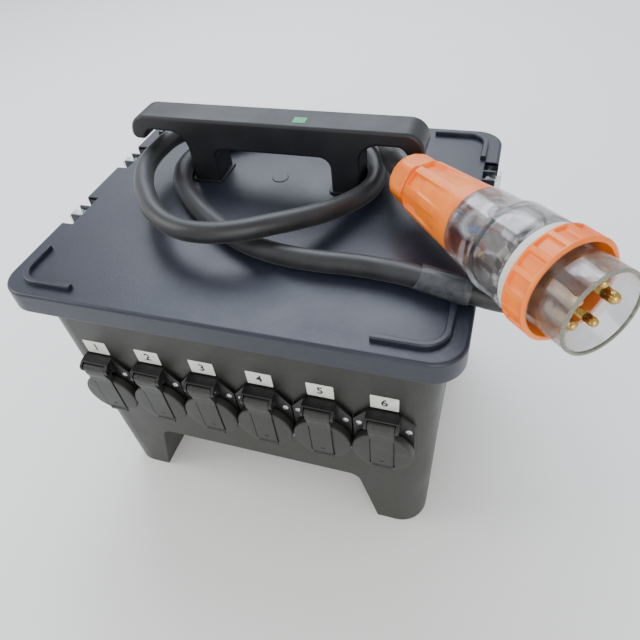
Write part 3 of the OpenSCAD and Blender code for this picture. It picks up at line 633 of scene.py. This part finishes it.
# %% Flip cover
cap = lathe(bmesh.new(), [(9.4, 23.9), (4.6, 23.9), (4.6, 26.1), (5, 26.45), (10.9, 26.45), (11.7, 26.2),
                          (12.3, 25.7), (12.5, 25)], n=96)
cap = solid("cap", cap)
for low, high in (((-10.75, -18.6, 11.3), (-9.75, 23.5, 14)), ((9.75, -19.6, 11.3), (11.35, 23.5, 14)),
                  ((-10.7, -18.6, 11.3), (9.7, -17.5, 14))):
    carve(cap, solid("groove", block(bmesh.new(), low, high)))
ease(cap, 0)
panel = bmesh.new()
prism(panel, rounded([(-9.8, 24.5, 0.5), (-9.8, -17.6, 1), (9.8, -17.6, 1), (9.8, 24.5, 0.5)], 3), 11.2, 13.1)
panel = ease(solid("panel", panel), 0.35, 2)
mark = ease(solid("mark", prism(bmesh.new(), round_rect(4.4, 1.7, 0.8, 4), 12.9, 13.45,
                                Matrix.Translation((0, -12.6, 0)))), 0.25, 2)
lip = [(11.0, -26.0, 0.4), (13.6, -24.6, 0.9), (13.2, -21.5, 0.5), (11.6, -20.5, 0)]
lip = ease(solid("lip", prism(bmesh.new(), rounded(lip, 4), -9.5, 9.5, SIDEWAYS)), 0.4, 2)
arm = [(11.4, 41.5, 0), (16.2, 41.5, 0), (16.3, 36, 3), (14.1, 28.5, 3), (13.55, 22, 0), (8, 22, 0.5),
       (8.4, 31, 2)]
arm = ease(solid("arm", prism(bmesh.new(), rounded(arm, 4), -10.75, 10.75, SIDEWAYS)), 0.7, 3)
barrel = lathe(bmesh.new(), [(-11.5, 0.02), (-11.5, 3.7), (-11, 4.2), (-6.2, 4.2), (-5.9, 3.9),
                             (5.9, 3.9), (6.2, 4.2),
                             (11, 4.2), (11.5, 3.7), (11.5, 0.02)],
                             Matrix.Translation((0, 41.5, 12)) @ SIDEWAYS, 40)
barrel = ease(solid("barrel", barrel), 0)
cover = gather("flip_cover", cap, panel, mark, lip, arm, barrel)
for side, n, place in OUTLETS:
    body = ("front" if side > 0 else "back") + "_cover_%d" % n
    fit(copies("flip_" + body, cover, [place @ OUT]), body, "cover_plastic", cover_plastic, body)
bpy.data.objects.remove(cover)

# %% [markdown]
# ## Steel: screws, pins, springs and rails
# Zinc-plated screws are bright but not mirror-like. Rolling and plating leave a fine brushed look,
# which stretched noise gives, both in the roughness and as a very shallow bump.

# %% Plated steel
def brushed(name, dark, light, rough, stretch):
    material, tree, shader = blank(name)
    place = add(tree, "ShaderNodeTexCoord").outputs["Object"]
    drawn = add(tree, "ShaderNodeMapping", {"Vector": place, "Scale": stretch}).outputs["Vector"]
    lines = add(tree, "ShaderNodeTexNoise", {"Vector": drawn, "Scale": 900, "Detail": 3}).outputs["Fac"]
    tree.links.new(ramp(tree, lines, [(0.3, tint(dark)), (0.7, tint(light))]), shader.inputs["Base Color"])
    gloss = add(tree, "ShaderNodeMapRange", {"Value": lines, "To Min": rough - 0.08, "To Max": rough + 0.1})
    tree.links.new(gloss.outputs["Result"], shader.inputs["Roughness"])
    bump = add(tree, "ShaderNodeBump", {"Height": lines, "Strength": 0.08, "Distance": 0.0002})
    tree.links.new(bump.outputs["Normal"], shader.inputs["Normal"])
    shader.inputs["Metallic"].default_value = 1.0
    return material


zinc_steel = brushed("steel_zinc_plated", "#a9abab", "#d4d5d3", 0.30, (1, 1, 0.2))
rail_steel = brushed("steel_rolled_rail", "#9a9c9e", "#bfc1c2", 0.36, (1, 0.05, 1))
pin_brass = brushed("brass_turned_pin", "#b08a45", "#dcbc72", 0.24, (1, 1, 1))

# %% Screws in the outlet plates
head = [(2.6, 3.0), (3.9, 3.15), (4.5, 3.0), (5.1, 2.2), (5.45, 1.1), (5.5, 0.3)]
head = solid("screw", lathe(bmesh.new(), head, n=28))
for low, high in (((-2.2, -0.5, 4.6), (2.2, 0.5, 7)), ((-0.5, -2.2, 4.55), (0.5, 2.2, 7))):
    carve(head, solid("cross_slot", block(bmesh.new(), low, high)))
ease(head, 0.12, 1)
spots = [(-21, 28.5), (21, 28.5), (-21.5, -15), (21.5, -15)]
screw_places = []
for k, place in enumerate(places):
    for j, (x, y) in enumerate(spots):
        screw_places.append(place @ Matrix.Translation((x, y,
                                                        0)) @ Matrix.Rotation(0.9 * k + 1.7 * j, 4, "Z"))
screws = copies("outlet_screws", head, screw_places)
bpy.data.objects.remove(head)
fit(screws, "box", "fastener_steel", zinc_steel, "socket_screws")

# %% [markdown]
# ## Labels
# A white film label sits above every outlet. The outlets are numbered in plain figures, the front
# row from 1 to 6 and the back row from 7 to 12. Figures come from text objects turned into meshes,
# so they stay sharp and leave no font behind. Printed film is smooth and a little glossy, with a
# slightly grubby surface.

# %% Film materials
def film(name, clean, grubby, rough):
    material, tree, shader = blank(name)
    place = add(tree, "ShaderNodeTexCoord").outputs["Object"]
    grime = add(tree, "ShaderNodeTexNoise", {"Vector": place, "Scale": 180, "Detail": 5,
                                             "Roughness": 0.7}).outputs["Fac"]
    tree.links.new(ramp(tree, grime, [(0.42, tint(clean)), (0.8, tint(grubby))]), shader.inputs["Base Color"])
    gloss = add(tree, "ShaderNodeMapRange", {"Value": grime, "To Min": rough - 0.1, "To Max": rough + 0.15})
    tree.links.new(gloss.outputs["Result"], shader.inputs["Roughness"])
    return material


white_film = film("vinyl_printed_label", "#d9dad4", "#b9bab2", 0.4)
ink = film("printing_ink", "#202124", "#303236", 0.5)
green_film = film("vinyl_green_sticker", "#15a262", "#0f7f4c", 0.3)

# %% Labels and figures
label = ease(solid("label", prism(bmesh.new(), round_rect(23.5, 16.5, 0.8, 3), 0.05, 0.35,
                                  Matrix.Translation((0, 57.75, 0)))), 0)
labels = copies("outlet_labels", label, places)
bpy.data.objects.remove(label)
fit(labels, "box", "label_film", white_film, "socket_labels")
figures = bmesh.new()
for side, n, place in OUTLETS:
    words = bpy.data.curves.new("figure", "FONT")
    words.body = str(n if side > 0 else n + 6)
    words.size, words.extrude, words.offset = 12 * MM, 0.03 * MM, 0.22 * MM
    words.align_x, words.align_y = "CENTER", "CENTER"
    holder = bpy.data.objects.new("figure", words)
    mesh = bpy.data.meshes.new_from_object(holder)
    shift = place @ OUT @ Matrix.Translation((0, 57.75, 0.4))
    shift.translation = shift.translation * MM
    mesh.transform(shift)
    figures.from_mesh(mesh)
    bpy.data.objects.remove(holder)
    bpy.data.meshes.remove(mesh)
fit(solid("label_figures", figures), "box", "label_film", ink)

# %% [markdown]
# ## Orange plug parts
# The plug's cable nut and housing are tough orange nylon with a satin skin. Light enters nylon a
# little before it comes back, so the shader gets some subsurface scattering. Grips are pressed into
# a lathe shape by changing its radius with the angle, which is how such grips really run: straight
# along the axis and evenly round it.

# %% Orange nylon
def nylon(name, deep, bright, rough):
    material, tree, shader = blank(name)
    place = add(tree, "ShaderNodeTexCoord").outputs["Object"]
    flow = add(tree, "ShaderNodeTexNoise", {"Vector": place, "Scale": 60, "Detail": 4,
                                            "Roughness": 0.6}).outputs["Fac"]
    tree.links.new(ramp(tree, flow, [(0.3, tint(deep)), (0.7, tint(bright))]), shader.inputs["Base Color"])
    gloss = add(tree, "ShaderNodeMapRange", {"Value": flow, "To Min": rough - 0.08, "To Max": rough + 0.1})
    tree.links.new(gloss.outputs["Result"], shader.inputs["Roughness"])
    fine = add(tree, "ShaderNodeTexNoise", {"Vector": place, "Scale": 1800, "Detail": 2}).outputs["Fac"]
    bump = add(tree, "ShaderNodeBump", {"Height": fine, "Strength": 0.15, "Distance": 0.0002})
    tree.links.new(bump.outputs["Normal"], shader.inputs["Normal"])
    shader.inputs["Subsurface Weight"].default_value = 0.08
    shader.inputs["Subsurface Radius"].default_value = (0.004, 0.0015, 0.0006)
    shader.inputs["Subsurface Scale"].default_value = 1.0
    shader.inputs["IOR"].default_value = 1.53
    return material


orange_nylon = nylon("nylon_moulded_orange", "#f26d08", "#ff8a18", 0.36)

# %% Plug frame, cable nut and rear housing
PLUG = (Matrix.Translation((130.5, -1, 322.5)) @ Matrix.Rotation(math.radians(-48.3), 4, "Z")
        @ Matrix.Rotation(math.radians(90 - 5.5), 4, "Y"))


def soft_step(x, low, high):
    """0 below low, 1 above high, with a smooth ramp between."""
    k = min(max((x - low) / (high - low), 0), 1)
    return k * k * (3 - 2 * k)


def nut_radius(t, r, a):
    """Six flats cut into a round nut."""
    off = (a + math.pi / 6) % (math.pi / 3) - math.pi / 6
    return min(r, 20.3 / math.cos(off)) if r > 12 else r


nut_profile = [(-8, 9.4), (-14, 9.4), (-14, 14.5), (-13.5, 16.5), (-12, 18.6), (-9.5, 20.6), (-6, 21.9),
               (-3, 22.4),
               (4, 22.4), (9, 22.3), (10.2, 21.9), (10.9, 20.4), (11.2, 19.4), (13.6, 19.2), (13.6, 9.4),
               (-8, 9.4)]
nut = ease(solid("plug_nut", lathe(bmesh.new(), nut_profile, PLUG, 120, nut_radius)), 0)
fit(nut, "box", "plug_orange", orange_nylon, "plug_cable_nut")


def housing_radius(t, r, a):
    """Eight finger channels between long ribs, deep near the nut and shallow further on."""
    if r < 18 or t > 76:
        return r
    off = abs((a + math.pi / 8) % (math.pi / 4) - math.pi / 8)
    side = 1 - soft_step(off, 0.215, 0.255)
    deep = soft_step(t, 16.6, 17.2) * (1 - soft_step(t, 33.4, 34.2))
    shallow = soft_step(t, 33.4, 34.2) * (1 - soft_step(t, 40, 75))
    return r - side * (3.6 * deep + 1.9 * shallow)


steps = [14.2, 15.2, 16, 16.6, 17.2, 18, 22, 28, 33.4, 33.8, 34.2, 36, 40, 45, 50, 55, 60, 65, 70, 75,
         80, 81.4]
outer = [(t, 19.6 + 4.1 * soft_step(t, 14, 17) + 4.6 * (t - 14) / 68) for t in steps]
inner = [(82, 27.6), (82, 25.4), (60, 22), (34, 18), (24, 9.4), (14.2, 9.4)]
shell = outer + inner + [outer[0]]
housing = ease(solid("plug_rear", lathe(bmesh.new(), shell, PLUG, 192, housing_radius)), 0)
fit(housing, "box", "plug_orange", orange_nylon, "plug_rear_housing")

# %% [markdown]
# ## Clear plug body
# The body and the shroud round the pins are clear polycarbonate, slightly smoky with age. Thick
# clear plastic is best as a real shell with an inside and an outside wall, so that light bends twice
# on its way through. Polycarbonate's IOR is about 1.58. A little alpha lets enough light straight
# through that the parts inside stay bright.

# %% Clear polycarbonate
def polycarbonate(name, colour, rough, alpha):
    material, tree, shader = blank(name)
    place = add(tree, "ShaderNodeTexCoord").outputs["Object"]
    haze = add(tree, "ShaderNodeTexNoise", {"Vector": place, "Scale": 70, "Detail": 5,
                                            "Roughness": 0.7}).outputs["Fac"]
    gloss = add(tree, "ShaderNodeMapRange", {"Value": haze, "From Min": 0.45, "From Max": 0.8,
                                            "To Min": rough, "To Max": rough + 0.07})
    tree.links.new(gloss.outputs["Result"], shader.inputs["Roughness"])
    shader.inputs["Base Color"].default_value = tint(colour)
    shader.inputs["Transmission Weight"].default_value = 1.0
    shader.inputs["IOR"].default_value = 1.58
    shader.inputs["Alpha"].default_value = alpha
    return material


plug_clear = polycarbonate("polycarbonate_clear_plug", "#cfd0d3", 0.05, 0.6)
edge_clear = polycarbonate("polycarbonate_cut_edge", "#8d907f", 0.25, 0.92)
edge_clear.node_tree.nodes["Principled BSDF"].inputs["Transmission Weight"].default_value = 0.35
window_clear = polycarbonate("polycarbonate_clear_window", "#c4c9cc", 0.02, 0.38)

# %% Clear body and shroud
profile = [(82.3, 28.4), (83, 29.3), (90, 29.8), (106, 31), (113, 32.2), (116, 33.4), (118, 33.9),
           (140, 34.1), (146.4, 34.1),
           (147.2, 33.6), (147.6, 32), (147.6, 29.5), (152, 29.5), (178, 29.5), (198.4, 29.5),
           (199.6, 29.2), (200, 28.5),
           (200, 27.9), (199.4, 27.1), (168, 27), (168, 26.4), (140, 26.4), (139, 31), (120, 31),
           (114, 29.2), (106, 28.4),
           (90, 27.2), (84, 26.5), (82.3, 26.4), (82.3, 28.4)]
clear = ease(solid("plug_clear", lathe(bmesh.new(), profile, PLUG, 128)), 0)
fit(clear, "box", "plug_clear", plug_clear, "plug_clear_body")

# %% Seals and lock ring
mouth = [(198.6, 27.2), (200.2, 27.5), (200.5, 28.3), (200.2, 29.3), (198.6, 29.62), (198.6, 27.2)]
mouth = ease(solid("plug_mouth_edge", lathe(bmesh.new(), mouth, PLUG, 96)), 0)
fit(mouth, "box", "plug_clear", edge_clear)
seal = ease(solid("plug_white_seal", lathe(bmesh.new(),
                                           [(148, 29.6), (148, 33), (148.6, 33.5), (154, 33.5), (154.6, 33),
                                                       (154.6, 29.6), (148, 29.6)], PLUG, 96)), 0)
fit(seal, "box", "seal_rubber", seal_rubber, "plug_seal")
o_ring = [(121 + 1.6 * math.cos(a), 32.4 + 0.9 * math.sin(a))
          for a in (math.radians(30 * k) for k in range(12))]
o_ring = ease(solid("plug_o_ring", lathe(bmesh.new(),
                                         [(t - 3, r - 2.6) for t, r in o_ring + [o_ring[0]]], PLUG, 96)), 0)
fit(o_ring, "box", "cable_rubber", cable_rubber)


def ring_radius(t, r, a):
    """Sixteen pockets between cross ribs round the lock ring."""
    if r < 33.5:
        return r
    off = abs((a + math.pi / 16) % (math.pi / 8) - math.pi / 8 + math.pi / 16)
    pocket = 1 - soft_step(off, 0.118, 0.135)
    along = soft_step(t, 157.4, 158.1) * (1 - soft_step(t, 172.4, 173.1))
    return r - 2.1 * pocket * along


steps = [155.6, 156.2, 157.4, 157.7, 158.1, 160, 164, 169, 172.4, 172.8, 173.1, 174, 174.5, 174.9]
ring_outer = [(155, 33.8), (155.2, 35.6)] + [(t, 36.7) for t in steps[1:-2]] + [(174.5, 36.3), (174.9, 35.4)]
ring_inner = [(175, 34.2), (174.7, 33.3), (172, 32.6), (165, 29.65), (155, 29.65), (155, 33.8)]
ring = lathe(bmesh.new(), ring_outer + ring_inner, PLUG, 256, ring_radius)
ring = ease(solid("plug_ring", ring), 0)
fit(ring, "plug_lock_ring", "plug_orange", orange_nylon, "plug_lock_ring")

# %% [markdown]
# ## Inside the plug
# Through the clear body one sees the cores fanning out to their terminals, and through the shroud
# the brass pins on their carrier. The carrier is a smoky thermoset disc with a sleeve round every
# terminal. Pins are turned brass rods with full round ends.

# %% Carrier and terminals
carrier_plastic = moulded("thermoset_moulded_carrier", "#5d5048", "#75665c", 0.35, 0.8, 0.3, 0.02)
PIN_ANGLES = [90, 162, 234, 306, 18]
disc = ease(solid("disc", lathe(bmesh.new(), [(141, 0.02), (141, 25.4), (142, 26.2), (166, 26.2),
                                              (167.2, 25.2),
                                              (167.5, 0.02)], PLUG, 72)), 0)
posts = bmesh.new()
for k, angle in enumerate(PIN_ANGLES):
    spot = PLUG @ Matrix.Rotation(math.radians(angle), 4, "Z") @ Matrix.Translation((15.5, 0, 0))
    lathe(posts, [(112, 3.4), (112, 5.4), (113, 5.8), (140, 5.8), (141.2, 5.8)], spot, 24)
    lathe(posts, [(167, 5.6), (170, 5.6), (171, 5.2), (171.4, 0.02)], spot, 24)
posts = ease(solid("posts", posts), 0)
carrier = gather("plug_carrier", disc, posts)
fit(carrier, "box", "carrier_plastic", carrier_plastic, "plug_pin_carrier")

# %% Brass pins
pins = bmesh.new()
for k, angle in enumerate(PIN_ANGLES):
    r, tip = (4.0, 196) if k == 0 else (3.2, 194)
    spot = PLUG @ Matrix.Rotation(math.radians(angle), 4, "Z") @ Matrix.Translation((15.5, 0, 0))
    dome = [(tip - r + r * math.sin(b), max(r * math.cos(b), 0.02))
            for b in (math.radians(15 * j) for j in range(7))]
    lathe(pins, [(108, r), (184, r), (184.4, r - 0.25), (185, r - 0.25), (185.4, r)] + dome, spot, 32)
pins = ease(solid("plug_brass_pins", pins), 0)
fit(pins, "box", "pin_brass", pin_brass, "plug_pins")

# %% Cores in the clear body
def cord_curve(name, points, radius, material, place=Matrix()):
    """A round cord through a few points, given in millimetres."""
    curve = bpy.data.curves.new(name, "CURVE")
    curve.dimensions = "3D"
    curve.bevel_depth = radius * MM
    curve.bevel_resolution = 4
    curve.resolution_u = 8
    curve.use_fill_caps = True
    line = curve.splines.new("BEZIER")
    line.bezier_points.add(len(points) - 1)
    for knot, point in zip(line.bezier_points, points):
        knot.co = (place @ Vector(point)) * MM
        knot.handle_left_type = knot.handle_right_type = "AUTO"
    obj = bpy.data.objects.new(name, curve)
    bpy.context.collection.objects.link(obj)
    mesh = bpy.data.meshes.new_from_object(obj)
    bpy.data.objects.remove(obj)
    obj = bpy.data.objects.new(name, mesh)
    bpy.context.collection.objects.link(obj)
    mesh.materials.clear()
    mesh.materials.append(material)
    for face in mesh.polygons:
        face.use_smooth = True
    return obj


CORES = [("green", "#3f8f3a", "#58a84e"), ("white", "#d8d8d8", "#f2f2f0"), ("blue", "#2c55a8", "#3d6cc4"),
         ("brown", "#6a4028", "#83553a"), ("grey", "#7f8284", "#9a9da0")]
core_pvc = {name: film("pvc_core_" + name, dark, light, 0.35) for name, dark, light in CORES}
for k, (name, dark, light) in enumerate(CORES):
    turn = PLUG @ Matrix.Rotation(math.radians(PIN_ANGLES[k]), 4, "Z")
    bow = 22 if name == "white" else 20
    route = [(4.5, 0, 62), (5, 1, 74), (9, 3, 85), (bow - 3, 6, 94), (bow, 1, 103), (18.5, -1, 110),
             (15.5, 0, 116)]
    piece = cord_curve("plug_core_" + name, route, 2.1, core_pvc[name], turn)
    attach(piece, "box")
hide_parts("plug_wires")
loop = [(20.5, 9, 103), (22, 6.5, 97), (22.5, 1, 93.5), (22.3, -5, 95), (21.8, -8, 101), (21, -7, 108)]
loop_piece = cord_curve("plug_spare_loop", loop, 2.2, core_pvc["white"],
                        PLUG @ Matrix.Rotation(math.radians(228), 4, "Z"))
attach(loop_piece, "box")

# %% [markdown]
# ## Film sleeve, gland and strain relief
# A strip of clear film is wrapped round the lead where it crosses the lid. It clings to the sheath
# in soft creases and ends in a loose flap. Where the lead enters the tub, a hexagonal gland body
# holds a long ribbed cone that stops the lead from kinking.

# %% Film sleeve
def film_wrap(name, colour, alpha):
    material, tree, shader = blank(name)
    place = add(tree, "ShaderNodeTexCoord").outputs["Object"]
    crease = add(tree, "ShaderNodeTexNoise", {"Vector": place, "Scale": 90, "Detail": 3, "Roughness": 0.65,
                                             "Distortion": 1.5}).outputs["Fac"]
    bump = add(tree, "ShaderNodeBump", {"Height": crease, "Strength": 0.35, "Distance": 0.0008})
    tree.links.new(bump.outputs["Normal"], shader.inputs["Normal"])
    tree.links.new(ramp(tree, crease, [(0.3, tint(colour)), (0.8, tint("#6d7176"))]),
                   shader.inputs["Base Color"])
    shader.inputs["Roughness"].default_value = 0.28
    shader.inputs["IOR"].default_value = 1.49
    shader.inputs["Alpha"].default_value = alpha
    return material


sleeve_film = film_wrap("film_wrapped_sleeve", "#3a3d42", 0.5)
wrap = bmesh.new()
line = [Vector(p) for p in ((146, -88.4, 297.6), (152, -90, 297.9), (160, -92.4, 298.1), (168, -94.5, 298.1),
                            (176, -96.3, 297.8), (184, -97.6, 297.4), (188, -97.9, 297))]
rows = []
for i, centre in enumerate(line):
    heading = (line[min(i + 1, len(line) - 1)] - line[max(i - 1, 0)]).normalized()
    across = heading.cross(Vector((0, 0, 1))).normalized()
    above = across.cross(heading)
    hoop = []
    for k in range(48):
        a = 2 * math.pi * k / 48
        slant = 7 * math.sin(a + 0.6) * (1 - i / (len(line) - 1))
        fold = noise.noise(Vector((i * 0.7, math.cos(a) * 2.1, math.sin(a) * 2.1)))
        r = 10.0 + 0.55 * fold + (0.8 if abs(a - 1.9) < 0.2 else 0)
        low = -centre.z + BOX_H + 0.15
        lift = above * max(r * math.sin(a), low)
        hoop.append(centre + across * (r * math.cos(a)) + lift + heading * slant)
    rows.append(hoop)
loft(wrap, rows, caps=False)
wrap = solid("lead_film_sleeve", wrap)
thick = wrap.modifiers.new("thickness", "SOLIDIFY")
thick.thickness = 0.25 * MM
bake(wrap)
ease(wrap, 0)
fit(wrap, "box", "sleeve_film", sleeve_film, "tape_sleeve")

# %% Gland and strain relief
GLAND = Matrix.Translation((0, 12, 214)) @ Matrix.Rotation(math.pi / 2, 4, "Y")
wall = wall_x(214)


def hexagon(t, r, a):
    off = (a + math.pi / 6) % (math.pi / 3) - math.pi / 6
    return min(r, 15.6 / math.cos(off)) if r > 15.5 else r


gland = [(wall - 8, 9.4), (wall - 8, 12.4), (wall + 0.3, 12.4), (wall + 0.3, 17.4), (wall + 0.9, 18),
         (wall + 6.6, 18),
         (wall + 7.3, 17), (wall + 7.4, 15.2), (wall + 10, 15), (wall + 14.4, 14.6), (wall + 15.2, 13.8),
         (wall + 15.2, 9.4),
         (wall - 8, 9.4)]
gland = ease(solid("gland_body", lathe(bmesh.new(), gland, GLAND, 96, hexagon)), 0)
fit(gland, "box", "gland_plastic", gland_plastic, "cable_gland")
relief = [(wall + 15.4, 9.4), (wall + 15.4, 14.3)]
for k in range(6):
    t, r = wall + 16.2 + 3.5 * k, 14.4 - 0.34 * k
    relief += [(t, r), (t + 2.0, r - 0.1), (t + 2.3, r - 1.5), (t + 3.1, r - 1.5), (t + 3.4, r - 0.3)]
relief += [(wall + 37.3, 12.2), (wall + 37.4, 11.4), (wall + 30, 9.6), (wall + 15.4, 9.4)]
relief = ease(solid("gland_strain_relief", lathe(bmesh.new(), relief, GLAND, 64)), 0)
fit(relief, "box", "gland_plastic", gland_plastic, "strain_relief")

# %% [markdown]

# %% [markdown]
# ## Eased copies of CAD parts
# Some parts have the right shape already and only lack soft edges: the clear windows, the breakers
# and their toggles. `eased` copies such a node's mesh, merges its coplanar triangles back into
# whole faces, and rounds the edges. The copy stands for the CAD node, which stays untouched.

# %% Eased copies
def eased(node, body, slot, material, width):
    bm = bmesh.new()
    bm.from_mesh(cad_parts[node].data)
    bmesh.ops.remove_doubles(bm, verts=bm.verts, dist=2e-6)
    bmesh.ops.dissolve_limit(bm, angle_limit=math.radians(1.5), verts=bm.verts, edges=bm.edges)
    return fit(ease(solid("soft_" + node, bm), width, 2), body, slot, material, node)


breaker_plastic = moulded("thermoset_moulded_breaker", "#c9c9c2", "#dcdcd6", 0.42, 0.8, 0.2, 0.02)
toggle_plastic = moulded("nylon_moulded_toggle", "#1c1e22", "#2a2d31", 0.3, 0.8, 0.2, 0.03)
amber_plastic = nylon("nylon_moulded_button", "#c98a1e", "#e0a030", 0.35)
eased("left_window", "left_window", "window_clear", window_clear, 0.7)
eased("right_window", "right_window", "window_clear", window_clear, 0.7)
eased("breaker_bodies", "box", "breaker_plastic", breaker_plastic, 0.4)
eased("main_switch", "box", "breaker_plastic", breaker_plastic, 0.4)
eased("main_toggle", "main_toggle", "toggle_plastic", toggle_plastic, 0.4)
eased("test_button", "test_button", "button_plastic", amber_plastic, 0.3)
for n in range(1, 13):
    eased("breaker_toggle_%d" % n, "breaker_toggle_%d" % n, "toggle_plastic", toggle_plastic, 0.4)

# %% [markdown]
# ## What stays as CAD made it
# Pins, springs, rails, the gasket, the inner wiring and the fasteners are simple shapes, mostly
# hidden. They keep their CAD meshes and only get materials.

# %% Materials for the remaining CAD nodes
wire_pvc = film("pvc_insulated_cores", "#2b4f96", "#3b64b0", 0.4)
finishes = {
    "lid_gasket": foam_rubber, "lid_screws": zinc_steel, "handle_screws": zinc_steel,
    "cover_pins": zinc_steel,
    "cover_springs": zinc_steel, "window_pins": zinc_steel, "din_rails": rail_steel,
    "socket_inserts": socket_plastic,
    "terminal_block": breaker_plastic, "inner_wiring": wire_pvc, "gland_locknut": gland_plastic,
    "handle_sticker": green_film,
}
for node, material in finishes.items():
    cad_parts[node].data.materials.clear()
    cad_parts[node].data.materials.append(material)
print("finished CAD nodes:", len(finishes))

# %% [markdown]
# ## Floor and light
# A pale matt floor and soft boxes keep attention on the object. Dark plastic is read by what it
# reflects, so a broad cool box above and behind gives the lid its slate-blue sheen, and a warmer,
# weaker one in front lifts the front wall.

# %% Floor and light
floor_bm = bmesh.new()
bmesh.ops.create_grid(floor_bm, x_segments=1, y_segments=1, size=4)
floor = solid("studio_floor", floor_bm)
floor_paint, tree, shader = blank("matt_painted_floor")
shader.inputs["Base Color"].default_value = tint("#f6f6f4")
shader.inputs["Roughness"].default_value = 0.9
floor.data.materials.append(floor_paint)


def soft_box(name, place, aim, size, power, colour):
    light = bpy.data.lights.new(name, "AREA")
    light.size, light.energy, light.color = size, power, colour
    obj = bpy.data.objects.new(name, light)
    obj.location = place
    obj.rotation_euler = (Vector(aim) - Vector(place)).to_track_quat("-Z", "Y").to_euler()
    bpy.context.collection.objects.link(obj)


soft_box("sky_box", (-0.5, 1.3, 1.9), (0, 0, 0.25), 1.6, 46, (0.82, 0.89, 1.0))
soft_box("front_box", (0.9, -1.9, 1.1), (0, 0, 0.15), 1.4, 23, (1.0, 0.96, 0.88))
soft_box("left_box", (-1.7, -0.5, 1.2), (0, 0, 0.2), 1.0, 16, (1.0, 0.98, 0.95))
world = bpy.data.worlds.new("studio_air")
world.use_nodes = True
world.node_tree.nodes["Background"].inputs["Color"].default_value = tint("#eef0f4")
world.node_tree.nodes["Background"].inputs["Strength"].default_value = 1.05
bpy.context.scene.world = world
